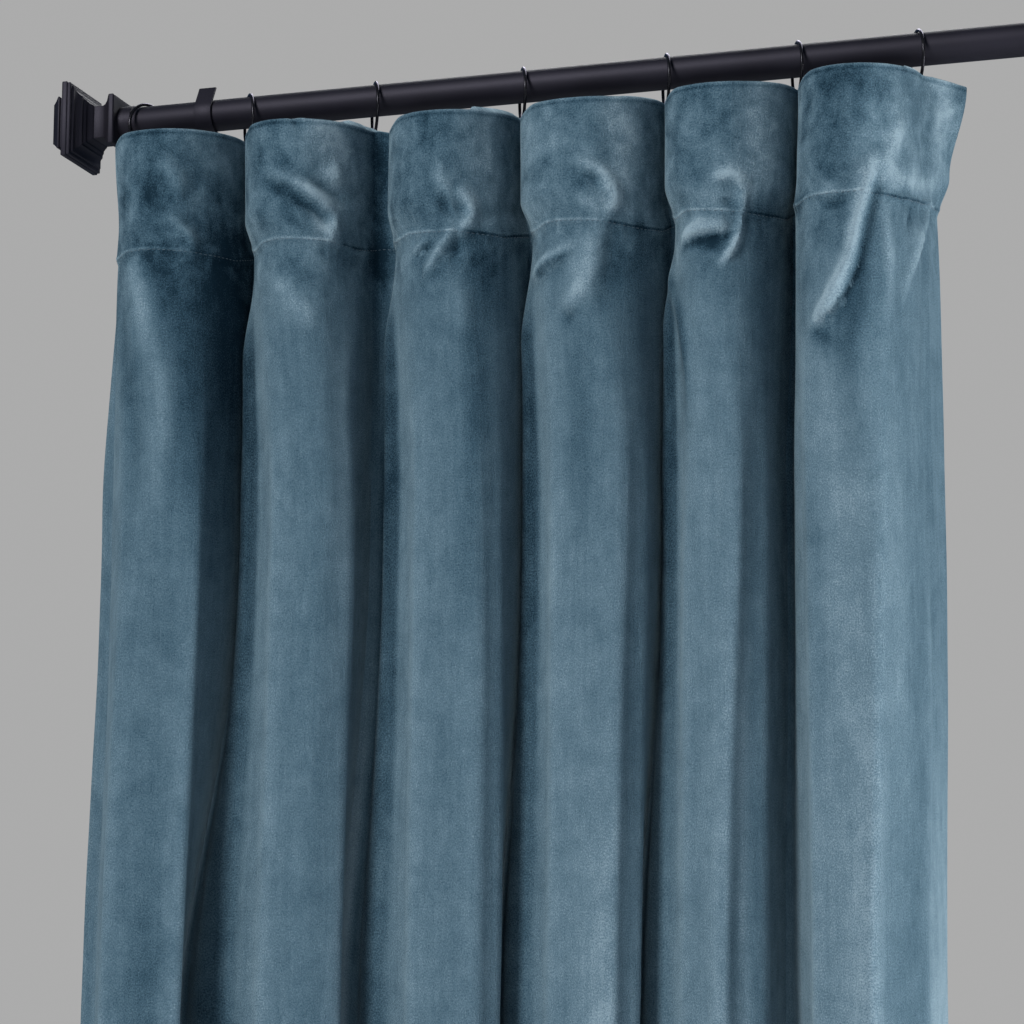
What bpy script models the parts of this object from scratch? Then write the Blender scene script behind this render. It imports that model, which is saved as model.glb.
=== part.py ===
# Velvet drape hung by wire rings on a black rod with square finials.
# Metres. +X runs along the rod, +Y goes into the wall and +Z is up. The origin is the
# middle of the left wall plate's back face, where the wall holds the rod.
import math

import bmesh
import bpy
import numpy as np
from mathutils import Matrix, Vector

MM = 0.001
GAP = 0.3 * MM                     # left between pieces that touch

# Rod: a 1 in tube, 36 in long between its finials
ROD_DIAMETER = 25.4 * MM
ROD_LENGTH = 914.4 * MM
ROD_OVERHANG = 63.3 * MM           # from the middle of a bracket to the tube's end
ROD_PROJECTION = 95.0 * MM         # wall to the rod's axis
ROD_RISE = 30.0 * MM               # the rod's axis above the middle of a wall plate
ROD_SIDES = 48

# Bracket: a wall plate and one bent strap that cradles the rod
PLATE_WIDTH = 24.0 * MM
PLATE_HEIGHT = 72.0 * MM
PLATE_THICKNESS = 3.0 * MM
PLATE_CORNER = 4.0 * MM
SCREW_HOLE = 5.0 * MM
SCREW_SPACING = 54.0 * MM
STRAP_WIDTH = 14.5 * MM
STRAP_THICKNESS = 2.0 * MM
STRAP_WRAP = 120.0                 # degrees round the rod, from its underside up its front
STRAP_TOP = 23.0 * MM              # free end above the rod's axis

# Finial: stations along its axis from the outer end, with half the side of its square
FINIAL_PROFILE = (                 # along, half side, in mm
    (0.0, 10.0), (0.5, 15.0), (1.8, 20.0), (3.6, 22.2), (6.0, 22.8), (9.6, 22.8),
    (10.2, 21.2), (15.0, 21.2),
    (15.6, 30.4), (16.2, 31.0), (20.2, 31.0), (20.5, 30.2), (22.8, 30.2), (23.3, 29.4),
    (23.4, 27.8), (24.9, 27.1), (25.4, 24.6), (26.6, 22.7), (28.2, 21.3), (29.6, 20.6),
    (29.9, 19.2), (31.9, 17.7), (32.3, 16.6), (34.4, 15.1), (36.4, 14.0), (36.8, 13.4), (44.6, 13.4),
    (46.8, 14.3), (49.2, 16.3), (51.2, 19.0), (52.2, 20.2), (52.8, 20.5), (56.2, 20.5),
    (57.0, 19.7), (57.0, 12.0),
)
FINIAL_LENGTH = 68.6 * MM          # square part and round collar
COLLAR_DIAMETER = 28.6 * MM
COLLAR_START = 54.0 * MM           # the collar's hidden end, inside the square part

# Rings: round wire with an eye at the foot. A row each, from left to right, with the place
# along the rod in mm, the turn about the vertical in degrees that brings the ring's front
# to the right, and how far in mm the drape's top edge hangs below the rod's axis there.
RINGS = (
    {"along": -52.9, "turn": -24.0, "edge_drop": 30.0},
    {"along": 34.8, "turn": 31.0, "edge_drop": 31.0},
    {"along": 142.5, "turn": 26.0, "edge_drop": 31.0},
    {"along": 265.2, "turn": 23.0, "edge_drop": 31.0},
    {"along": 381.2, "turn": 21.0, "edge_drop": 29.5},
    {"along": 484.3, "turn": 22.0, "edge_drop": 28.5},
    {"along": 576.5, "turn": 23.0, "edge_drop": 26.5},
)
RING_RADIUS = 20.6 * MM            # to the middle of the wire
RING_WIRE = 2.5 * MM
RING_STEPS = (28, 8)
EYE_RADIUS = 3.6 * MM
EYE_WIRE = 2.0 * MM
EYE_STEPS = (12, 6)
EYE_SINK = 0.7 * MM                # the eye's wire is sunk this far into the ring's

# Pin hooks from the eyes to the back of the heading
HOOK_WIRE = 1.6 * MM
HOOK_SHANK = 28.0 * MM
HOOK_PIN = 24.0 * MM
HOOK_BEND = 2.8 * MM

# Drape: one cloth with a flat stitched pocket as its heading
DRAPE_DROP = 2134.0 * MM           # an 84 in panel
CLOTH = 2.0 * MM
HEADING = 97.0 * MM
HEADING_THICKNESS = 5.0 * MM       # both layers of the pocket
REACH = 19.5 * MM                  # from a ring's middle out to the front of the cloth
FOLD_SHARES = (0.0, 0.015, 0.03, 0.10, 0.18, 0.27, 0.36, 0.45, 0.54, 0.63, 0.72, 0.81, 0.90,
               0.97, 0.985)        # the mesh's columns across a fold, closer at its valleys
PLAN_SAMPLES = 60                  # points that shape each fold's plan before it is smoothed
PLAN_STEP = 1.0 * MM
SMOOTHING = 3.0 * MM

SAG_STEEPNESS = (0.5, 1.2)         # the edge drops fast from a fold's left hook, slowly to its right

# Levels of the drape, as depths below its top edge, where the folds' plans are stated
LEVELS = (0.0, 70.0, 100.0, 300.0, 700.0, 2134.0)
# Folds: a row each, from left to right. The depth in front of the valleys, the crest's
# lean to the right and the flanks' bulge are given at those levels. The inset is where the
# fold's left and right flanks start from the middle of the valleys beside it.
FOLDS = (
    {"depth": (75, 75, 74, 73, 74, 76), "lean": (-4, -4, 0, 12, 12, 8),
     "bulge": (4, 3, 3, 2, 2, 0), "inset": (3.5, 3.5), "sag": 8.0},
    {"depth": (74, 74, 71, 72, 73, 74), "lean": (-6, -6, 2, 12, 10, 6),
     "bulge": (0, 1, 0, 0, 0, 0), "inset": (3.5, 3.5), "sag": 8.5},
    {"depth": (70, 70, 67, 69, 70, 70), "lean": (-2, -2, 2, 6, 6, 4),
     "bulge": (1, 2, 0, 0, 0, 0), "inset": (17.0, 3.5), "sag": 10.5},
    {"depth": (72, 72, 69, 70, 70, 71), "lean": (-4, -2, 0, 6, 6, 2),
     "bulge": (3, 3, 0, 0, 0, 0), "inset": (3.5, 3.5), "sag": 11.0},
    {"depth": (73, 73, 70, 71, 72, 72), "lean": (-6, -4, 0, 4, 4, 4),
     "bulge": (4, 5, 1, 0, 0, 0), "inset": (3.5, 3.5), "sag": 11.0},
    {"depth": (77, 77, 76, 76, 76, 74), "lean": (-6, -6, 0, 6, 8, 4),
     "bulge": (3, 5, 4, 3, 2, 0), "inset": (3.5, 1.0), "sag": 10.5},
)
# Valleys: how far each one has moved along the rod at those levels, from hook to hook
VALLEYS = (
    (0, 4, 0, -9, -17, -22),
    (0, 2, 6, 11, 11, 0),
    (0, 0, 2, 6, 6, 4),
    (0, 0, 6, 10, 11, 8),
    (0, 0, 3, 3, 1, 2),
    (0, -1, -5, -8, -12, -8),
    (1, -1, -3, -4, -9, -8),
)
# Side strips: how far the cloth runs on past the first and the last hook, the way it goes,
# in degrees from straight back to the wall, outwards, and where it starts beside the hook
LEFT_STRIP = {"length": 34.0, "start": 9.0, "turn": (4, 4, 0, 2, 12, 16)}
RIGHT_STRIP = {"length": 42.0, "start": 2.5, "turn": (34, 13, 4, 10, 10, 10)}
STRIP_COLUMNS = 4

# Rows of the drape's mesh, as depths below its top edge, in mm
ROWS = (0, 24, 50, 75, 92, 97, 102, 118, 140, 170, 215, 280, 370, 480, 610, 760, 930,
        1120, 1330, 1560, 1800, 2000, 2134)


def collection(name):
    made = bpy.data.collections.new(name)
    bpy.context.scene.collection.children.link(made)
    return made


def material(name, colour, roughness, metallic=0.0):
    made = bpy.data.materials.new(name)
    made.use_nodes = True
    shader = made.node_tree.nodes["Principled BSDF"]
    shader.inputs["Base Color"].default_value = (*colour, 1.0)
    shader.inputs["Roughness"].default_value = roughness
    shader.inputs["Metallic"].default_value = metallic
    made.diffuse_color = (*colour, 1.0)
    return made


def add_object(name, data, home, finish):
    made = bpy.data.objects.new(name, data)
    home.objects.link(made)
    made.data.materials.append(finish)
    return made


def shade_round(mesh, angle=40.0):
    mesh.shade_smooth()
    mesh.set_sharp_from_angle(angle=math.radians(angle))


def add_cutter(name, mesh, home):
    made = bpy.data.objects.new(name, mesh)
    home.objects.link(made)
    made.hide_render = True
    made.display_type = "WIRE"
    return made


def boolean(target, other, operation):
    cut = target.modifiers.new(other.name, "BOOLEAN")
    cut.object = other
    cut.operation = operation
    cut.solver = "EXACT"


def cylinder_mesh(name, radius, length, sides):
    """A round bar on +X, centred."""
    shape = bmesh.new()
    bmesh.ops.create_cone(shape, cap_ends=True, segments=sides, radius1=radius,
                          radius2=radius, depth=length)
    bmesh.ops.rotate(shape, matrix=Matrix.Rotation(math.pi / 2, 3, "Y"), verts=shape.verts)
    mesh = bpy.data.meshes.new(name)
    shape.to_mesh(mesh)
    shape.free()
    return mesh


def torus_mesh(name, radius, wire, steps):
    """A ring of round wire in the YZ plane, from one circle spun about X."""
    around, section = steps
    shape = bmesh.new()
    circle = bmesh.ops.create_circle(shape, segments=section, radius=wire / 2)["verts"]
    bmesh.ops.rotate(shape, matrix=Matrix.Rotation(math.pi / 2, 3, "Y"), verts=circle)
    bmesh.ops.rotate(shape, matrix=Matrix.Rotation(math.pi / 2, 3, "Z"), verts=circle)
    bmesh.ops.translate(shape, vec=(0.0, 0.0, radius), verts=circle)
    bmesh.ops.spin(shape, geom=shape.verts[:] + shape.edges[:], cent=(0, 0, 0), axis=(1, 0, 0),
                   angle=2 * math.pi, steps=around, use_merge=True)
    bmesh.ops.remove_doubles(shape, verts=shape.verts, dist=1e-6)
    bmesh.ops.recalc_face_normals(shape, faces=shape.faces)
    mesh = bpy.data.meshes.new(name)
    shape.to_mesh(mesh)
    shape.free()
    shade_round(mesh, 80.0)
    return mesh


def curve_as_mesh(name, curve, matrix):
    """The curve's solid as a welded mesh, with its place in the mesh."""
    guide = bpy.data.objects.new(name + "_guide", curve)
    bpy.context.scene.collection.objects.link(guide)
    guide.matrix_world = matrix
    bpy.context.view_layer.update()
    seen = guide.evaluated_get(bpy.context.evaluated_depsgraph_get())
    mesh = bpy.data.meshes.new_from_object(seen)
    mesh.transform(matrix)
    bpy.data.objects.remove(guide)
    shape = bmesh.new()
    shape.from_mesh(mesh)
    bmesh.ops.remove_doubles(shape, verts=shape.verts, dist=1e-6)
    shape.to_mesh(mesh)
    shape.free()
    mesh.name = name
    return mesh


def flat_curve(name, outlines, thickness):
    """A plate from closed outlines in the curve's own XY plane, with its holes."""
    curve = bpy.data.curves.new(name, "CURVE")
    curve.dimensions = "2D"
    curve.fill_mode = "BOTH"
    curve.extrude = thickness / 2
    for outline in outlines:
        spline = curve.splines.new("POLY")
        spline.points.add(len(outline) - 1)
        for point, (x, y) in zip(spline.points, outline):
            point.co = (x, y, 0.0, 1.0)
        spline.use_cyclic_u = True
    return curve


def arc(centre, radius, start, end, steps):
    """Points on an arc, with its angles in degrees."""
    angles = [math.radians(start + (end - start) * i / steps) for i in range(steps + 1)]
    return [(centre[0] + radius * math.cos(a), centre[1] + radius * math.sin(a)) for a in angles]


def build_rod(home, finish):
    mesh = cylinder_mesh("rod", ROD_DIAMETER / 2, ROD_LENGTH, ROD_SIDES)
    shade_round(mesh)
    rod = add_object("rod", mesh, home, finish)
    rod.location = (ROD_LENGTH / 2 - ROD_OVERHANG, -ROD_PROJECTION, ROD_RISE)


def finial_blank(name):
    """The square part, turned in four steps about Z, its outer end at Z = 0, going up."""
    mesh = bpy.data.meshes.new(name)
    corner = math.sqrt(2.0) * MM
    points = [(0.0, 0.0, FINIAL_PROFILE[-1][0] * MM)]
    points += [(half * corner, 0.0, along * MM) for along, half in reversed(FINIAL_PROFILE)]
    points.append((0.0, 0.0, 0.0))
    mesh.from_pydata(points, [(i, i + 1) for i in range(len(points) - 1)], [])
    return mesh


def build_finial(name, end_x, outwards, home, cutters, finish):
    """Outwards is -1 at the rod's left end and +1 at its right end."""
    finial = add_object(name, finial_blank(name), home, finish)
    turn = finial.modifiers.new("turned_square", "SCREW")
    turn.steps = 4
    turn.render_steps = 4
    turn.use_merge_vertices = True
    turn.merge_threshold = 0.00001
    turn.use_smooth_shade = False
    axis = Matrix.Rotation(-outwards * math.pi / 2, 4, "Y")
    square = Matrix.Rotation(math.pi / 4, 4, "Z")
    place = Matrix.Translation((end_x + outwards * (FINIAL_LENGTH + GAP), -ROD_PROJECTION, ROD_RISE))
    finial.matrix_world = place @ axis @ square
    length = FINIAL_LENGTH - COLLAR_START
    collar = add_cutter(name + "_collar", cylinder_mesh(name + "_collar", COLLAR_DIAMETER / 2,
                                                        length, ROD_SIDES), cutters)
    collar.location = (end_x + outwards * (GAP + length / 2), -ROD_PROJECTION, ROD_RISE)
    boolean(finial, collar, "UNION")


def plate_outline():
    half_w = PLATE_WIDTH / 2 - PLATE_CORNER
    half_h = PLATE_HEIGHT / 2 - PLATE_CORNER
    corners = ((half_w, half_h, 0), (-half_w, half_h, 90), (-half_w, -half_h, 180), (half_w, -half_h, 270))
    return [p for x, y, start in corners for p in arc((x, y), PLATE_CORNER, start, start + 90, 4)]


def strap_outline():
    """The strap's edge in a plane with the rod's axis at (0, 0), the wall at +X, Z as Y."""
    inner = ROD_DIAMETER / 2 + GAP
    outer = inner + STRAP_THICKNESS
    wall = ROD_PROJECTION - PLATE_THICKNESS / 2
    end_angle = 270.0 - STRAP_WRAP
    lean = math.radians(end_angle - 90.0)

    def free_end(radius):
        start = arc((0, 0), radius, end_angle, end_angle, 1)[0]
        return (start[0] + (STRAP_TOP - start[1]) / math.tan(lean), STRAP_TOP)

    outside = [(wall, -outer)] + arc((0, 0), outer, 270.0, end_angle, 14) + [free_end(outer)]
    inside = [free_end(inner)] + arc((0, 0), inner, end_angle, 270.0, 14) + [(wall, -inner)]
    return outside + inside


def build_bracket(name, x, home, cutters, finish):
    upright = Matrix.Rotation(math.pi / 2, 4, "X")
    hole = SCREW_HOLE / 2
    holes = [arc((0, side * SCREW_SPACING / 2), hole, 0, 345, 23) for side in (-1, 1)]
    plate_curve = flat_curve(name + "_plate", [plate_outline()] + holes, PLATE_THICKNESS)
    plate_place = Matrix.Translation((x, -PLATE_THICKNESS / 2, 0.0)) @ upright
    bracket = add_object(name, curve_as_mesh(name, plate_curve, plate_place), home, finish)
    strap_curve = flat_curve(name + "_strap", [strap_outline()], STRAP_WIDTH)
    side_on = Matrix.Rotation(math.pi / 2, 4, "Z") @ upright
    strap_place = Matrix.Translation((x, -ROD_PROJECTION, ROD_RISE)) @ side_on
    strap = add_cutter(name + "_strap", curve_as_mesh(name + "_strap", strap_curve, strap_place), cutters)
    boolean(bracket, strap, "UNION")


def ring_centre(along):
    """A ring hangs with the inside of its wire on the top of the rod."""
    drop = RING_RADIUS - RING_WIRE / 2 - ROD_DIAMETER / 2 - GAP
    return Vector((along * MM, -ROD_PROJECTION, ROD_RISE - drop))


def build_ring(number, row, home, cutters, finish):
    name = f"ring_{number}"
    spin = Matrix.Rotation(math.radians(row["turn"]), 4, "Z")
    ring = add_object(name, torus_mesh(name, RING_RADIUS, RING_WIRE, RING_STEPS), home, finish)
    ring.matrix_world = Matrix.Translation(ring_centre(row["along"])) @ spin
    eye = add_cutter(name + "_eye", torus_mesh(name + "_eye", EYE_RADIUS, EYE_WIRE, EYE_STEPS), cutters)
    across = spin @ Matrix.Rotation(math.pi / 2, 4, "Z")
    eye.matrix_world = Matrix.Translation(eye_centre(row["along"])) @ across
    boolean(ring, eye, "UNION")


def eye_centre(along):
    below = RING_RADIUS + RING_WIRE / 2 + EYE_RADIUS + EYE_WIRE / 2 - EYE_SINK
    return ring_centre(along) - Vector((0.0, 0.0, below))


def hook_route():
    """A hook's wire in its own plane, as distances to the front of the eye and above it."""
    pin = REACH - HEADING_THICKNESS - GAP * 2 - HOOK_WIRE / 2
    over = EYE_WIRE / 2 + HOOK_WIRE / 2 + GAP
    top = arc((0.0, -EYE_RADIUS), over, 180, 0, 6)
    shank_foot = (pin - 2 * HOOK_BEND, -EYE_RADIUS - HOOK_SHANK)
    bend = arc((pin - HOOK_BEND, shank_foot[1]), HOOK_BEND, 180, 360, 6)
    tip = (pin, shank_foot[1] + HOOK_PIN)
    return [(-over, -EYE_RADIUS - 4 * MM)] + top + bend + [tip]


def build_hook(number, row, home, finish):
    forward = Matrix.Rotation(math.radians(row["turn"]), 3, "Z") @ Vector((0.0, -1.0, 0.0))
    curve = bpy.data.curves.new(f"hook_{number}", "CURVE")
    curve.dimensions = "3D"
    curve.bevel_depth = HOOK_WIRE / 2
    curve.bevel_resolution = 1
    curve.use_fill_caps = True
    route = hook_route()
    spline = curve.splines.new("POLY")
    spline.points.add(len(route) - 1)
    for point, (ahead, up) in zip(spline.points, route):
        point.co = (*(eye_centre(row["along"]) + forward * ahead + Vector((0.0, 0.0, up))), 1.0)
    add_object(f"hook_{number}", curve, home, finish)


def at_level(values, depth):
    """A value stated at LEVELS, eased to a depth in mm below the top edge."""
    spot = np.interp(depth, LEVELS, np.arange(len(LEVELS)))
    low = min(int(spot), len(LEVELS) - 2)
    part = spot - low
    ease = part * part * (3.0 - 2.0 * part)
    return values[low] + (values[low + 1] - values[low]) * ease


def valley_point(number, depth):
    """Where the cloth's front turns round between two folds, in plan, in mm."""
    ring = RINGS[number]
    reach = REACH / MM
    shift = at_level(VALLEYS[number], depth)
    angle = math.radians(ring["turn"])
    return np.array((ring["along"] + reach * math.sin(angle) + shift,
                     -ROD_PROJECTION / MM - reach * math.cos(angle)))


def fold_plan(number, depth):
    """One fold of the cloth's front in plan, from valley to valley, in mm."""
    fold = FOLDS[number]
    left = valley_point(number, depth) + (fold["inset"][0], 0.0)
    right = valley_point(number + 1, depth) - (fold["inset"][1], 0.0)
    angle = np.linspace(0.0, math.pi, PLAN_SAMPLES)
    across = (1.0 - np.cos(angle)) / 2
    points = left + np.outer(across, right - left)
    crest = np.sin(angle)
    points[:, 0] += at_level(fold["lean"], depth) * crest ** 2
    points[:, 0] -= at_level(fold["bulge"], depth) * np.sin(2 * angle)
    points[:, 1] -= at_level(fold["depth"], depth) * crest
    return points


def strip_plan(strip, number, outwards, depth):
    """The cloth past the first or the last hook, going back to the wall, in mm."""
    start = valley_point(number, depth) + (outwards * strip["start"], 0.0)
    angle = math.radians(at_level(strip["turn"], depth))
    way = np.array((outwards * math.sin(angle), math.cos(angle)))
    steps = np.linspace(0.0, strip["length"], 8)
    return start + np.outer(steps, way)


def drape_plan(depth):
    """The whole front of the cloth in plan at one depth, smoothed, from left to right.

    Returns points a fixed step apart with the share of a fold that each has run, where
    whole numbers from 0 to 6 are the hooks.
    """
    pieces = [strip_plan(LEFT_STRIP, 0, -1, depth)[::-1]]
    shares = [np.linspace(-1.0, 0.0, len(pieces[0]))]
    for number in range(len(FOLDS)):
        pieces.append(fold_plan(number, depth))
        shares.append(number + np.linspace(0.03, 0.97, PLAN_SAMPLES))
    pieces.append(strip_plan(RIGHT_STRIP, len(FOLDS), 1, depth))
    shares.append(len(FOLDS) + np.linspace(0.0, 1.0, len(pieces[-1])))
    points = np.vstack(pieces)
    share = np.concatenate(shares)
    run = np.concatenate(([0.0], np.cumsum(np.hypot(*np.diff(points, axis=0).T))))
    even = np.linspace(0.0, run[-1], int(run[-1] / (PLAN_STEP / MM)) + 1)
    points = np.stack([np.interp(even, run, points[:, 0]), np.interp(even, run, points[:, 1])], 1)
    return smoothed(points), np.interp(even, run, share)


def smoothed(points):
    """The points with their corners rounded, and both ends left where they are."""
    reach = int(2 * SMOOTHING / PLAN_STEP)
    weights = np.exp(-0.5 * (np.arange(-reach, reach + 1) * PLAN_STEP / SMOOTHING) ** 2)
    weights /= weights.sum()
    before = 2 * points[0] - points[reach:0:-1]
    after = 2 * points[-1] - points[-2:-reach - 2:-1]
    padded = np.vstack([before, points, after])
    return np.stack([np.convolve(padded[:, axis], weights, "valid") for axis in (0, 1)], 1)


def edge_height(share):
    """How far the top edge hangs below the rod's axis, in mm, lower between the hooks."""
    drops = np.array([ring["edge_drop"] for ring in RINGS])
    hooks = np.interp(share, np.arange(len(RINGS)), drops)
    sags = np.array([fold["sag"] for fold in FOLDS])
    fold = np.clip(share.astype(int), 0, len(FOLDS) - 1)
    part = np.clip(share - fold, 0.0, 1.0)
    steepness = SAG_STEEPNESS[0] + (SAG_STEEPNESS[1] - SAG_STEEPNESS[0]) * part
    return hooks + sags[fold] * np.sin(math.pi * part) ** steepness


def column_shares():
    """The share of a fold at each column of the drape's mesh."""
    strip = np.linspace(0.0, 1.0, STRIP_COLUMNS + 1)
    folds = [number + np.array(FOLD_SHARES) for number in range(len(FOLDS))]
    return np.concatenate([strip[:-1] - 1.0] + folds + [len(FOLDS) + strip])


def build_drape(home, finish):
    columns = column_shares()
    points = []
    for depth in ROWS:
        plan, share = drape_plan(depth)
        x = np.interp(columns, share, plan[:, 0]) * MM
        y = np.interp(columns, share, plan[:, 1]) * MM
        z = ROD_RISE - (edge_height(columns) + depth) * MM
        points += list(zip(x, y, z))
    wide = len(columns)
    faces = [(row * wide + i, (row + 1) * wide + i, (row + 1) * wide + i + 1, row * wide + i + 1)
             for row in range(len(ROWS) - 1) for i in range(wide - 1)]
    mesh = bpy.data.meshes.new("drape")
    mesh.from_pydata(points, [], faces)
    mesh.shade_smooth()
    drape = add_object("drape", mesh, home, finish)
    layers = drape.vertex_groups.new(name="layers")
    for row, depth in enumerate(ROWS):
        share = HEADING_THICKNESS if depth < HEADING / MM - 10 else CLOTH
        layers.add(list(range(row * wide, (row + 1) * wide)), share / HEADING_THICKNESS, "REPLACE")
    thick = drape.modifiers.new("cloth", "SOLIDIFY")
    thick.thickness = HEADING_THICKNESS
    thick.offset = -1.0
    thick.vertex_group = "layers"
    thick.use_quality_normals = True


def main():
    for old in list(bpy.data.objects):
        bpy.data.objects.remove(old)
    parts = collection("velvet_drape_on_rod")
    cutters = collection("cutters")
    black = material("black_metal", (0.012, 0.011, 0.015), 0.38, 0.6)
    wire = material("black_wire", (0.02, 0.02, 0.022), 0.3, 0.8)
    velvet = material("velvet", (0.085, 0.165, 0.235), 0.9)

    build_rod(parts, black)
    left_end = -ROD_OVERHANG
    right_end = ROD_LENGTH - ROD_OVERHANG
    build_finial("finial_left", left_end, -1, parts, cutters, black)
    build_finial("finial_right", right_end, 1, parts, cutters, black)
    build_bracket("bracket_left", 0.0, parts, cutters, black)
    build_bracket("bracket_right", ROD_LENGTH - 2 * ROD_OVERHANG, parts, cutters, black)
    for number, row in enumerate(RINGS):
        build_ring(number, row, parts, cutters, wire)
        build_hook(number, row, parts, wire)
    build_drape(parts, velvet)


main()
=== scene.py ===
import math

import bmesh
import bpy
import numpy as np
from mathutils import Matrix, Vector, noise


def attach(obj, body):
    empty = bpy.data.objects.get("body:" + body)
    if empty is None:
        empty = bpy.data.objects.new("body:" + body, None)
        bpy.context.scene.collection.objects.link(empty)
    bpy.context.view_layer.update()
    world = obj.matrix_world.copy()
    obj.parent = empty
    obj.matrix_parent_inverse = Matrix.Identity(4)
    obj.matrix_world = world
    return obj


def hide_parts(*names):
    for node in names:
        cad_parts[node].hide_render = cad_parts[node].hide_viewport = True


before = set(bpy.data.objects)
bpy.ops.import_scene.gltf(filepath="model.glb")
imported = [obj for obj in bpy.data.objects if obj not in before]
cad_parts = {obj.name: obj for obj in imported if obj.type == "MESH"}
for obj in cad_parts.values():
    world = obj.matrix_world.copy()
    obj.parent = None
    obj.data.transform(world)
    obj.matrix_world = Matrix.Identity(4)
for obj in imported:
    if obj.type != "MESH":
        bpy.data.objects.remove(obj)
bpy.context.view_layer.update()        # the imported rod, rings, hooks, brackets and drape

mm = 0.001

# rod, as in the solids; lengths are in mm unless a line says otherwise
rodSize = {"diameter": 25.4, "length": 914.4, "overhang": 63.3, "fromWall": 95.0, "rise": 30.0}
rodY = -rodSize["fromWall"] * mm
rodZ = rodSize["rise"] * mm
rodStart = -rodSize["overhang"] * mm
rodEnd = (rodSize["length"] - rodSize["overhang"]) * mm
gap = 0.3                 # left between pieces that touch

# camera: metres, degrees and lens in mm
cameraView = {"place": (0.9311, -2.3012, -0.7108), "turn": 17.0, "lookUp": 9.9, "lens": 107.4}


def placeCamera(view):
    lens = bpy.data.cameras.new("camera")
    lens.lens = view["lens"]
    lens.sensor_width = 36.0
    lens.clip_end = 60.0
    camera = bpy.data.objects.new("camera", lens)
    bpy.context.scene.collection.objects.link(camera)
    camera.location = view["place"]
    camera.rotation_euler = (math.radians(90.0 + view["lookUp"]), 0.0, math.radians(view["turn"]))
    bpy.context.scene.camera = camera


placeCamera(cameraView)


# material helpers
def newMaterial(name, values):
    made = bpy.data.materials.new(name)
    made.use_nodes = True
    shader = made.node_tree.nodes["Principled BSDF"]
    for socket, value in values.items():
        shader.inputs[socket].default_value = value
    return made, made.node_tree, shader


def addNode(tree, kind, inputs=None, **settings):
    node = tree.nodes.new("ShaderNode" + kind)
    for name, value in settings.items():
        setattr(node, name, value)
    for name, value in (inputs or {}).items():
        if isinstance(value, bpy.types.NodeSocket):
            tree.links.new(value, node.inputs[name])
        else:
            node.inputs[name].default_value = value
    return node


def addNoise(tree, place, scale, detail=3, stretch=(1, 1, 1), roughness=0.55, distortion=0):
    mapped = addNode(tree, "Mapping", {"Vector": place, "Scale": stretch})
    made = addNode(tree, "TexNoise", {"Vector": mapped.outputs[0], "Scale": scale, "Detail": detail,
                                      "Roughness": roughness, "Distortion": distortion})
    return made.outputs["Fac"]


def addRamp(tree, factor, stops):
    ramp = addNode(tree, "ValToRGB", {"Fac": factor})
    points = ramp.color_ramp.elements
    points[0].position, points[0].color = stops[0][0], (*stops[0][1], 1)
    points[1].position, points[1].color = stops[-1][0], (*stops[-1][1], 1)
    for position, colour in stops[1:-1]:
        points.new(position).color = (*colour, 1)
    return ramp.outputs["Color"]


def addRange(tree, factor, low, high):
    return addNode(tree, "MapRange", {"Value": factor, "To Min": low, "To Max": high}).outputs[0]


def addMaths(tree, operation, first, second):
    return addNode(tree, "Math", {0: first, 1: second}, operation=operation).outputs[0]


def addBump(tree, height, distance, strength=1, below=None):
    inputs = {"Height": height, "Distance": distance, "Strength": strength}
    if below is not None:
        inputs["Normal"] = below
    return addNode(tree, "Bump", inputs).outputs["Normal"]


# velvet: short pile that lies in lighter and darker patches, strongest in the heading, with light and shade
# painted on the cloth added to its colour
velvetLook = {
    "shades": ((0, (0.007, 0.021, 0.035)), (0.25, (0.03, 0.066, 0.096)), (0.5, (0.071, 0.127, 0.168)),
               (0.75, (0.132, 0.205, 0.254)), (1, (0.26, 0.35, 0.405))),
    # body and heading are how strongly each layer of noise shades the pile there
    "layers": {
        "patches": {"stretch": (1, 0.8, 1), "scale": 30, "detail": 4, "body": 0.34, "heading": 0.95},
        "nap": {"stretch": (1, 0.75, 1), "scale": 90, "detail": 4, "body": 0.26, "heading": 0.72},
        "streaks": {"stretch": (9, 0.7, 1), "scale": 22, "detail": 3, "body": 0.2, "heading": 0.1},
        "grain": {"stretch": (1, 0.85, 1), "scale": 980, "detail": 2, "body": 0.95, "heading": 1},
    },
    "roughness": 0.58, "distortion": 0.4,
    "bumps": {"grain": (0.001, 1), "nap": (0.001, 0.7), "streaks": (0.0008, 0.6)},   # metres, strength
    "headingFoot": (-0.155, -0.1), "paintedShading": 0.3, "sheen": 0.52,
}


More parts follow.
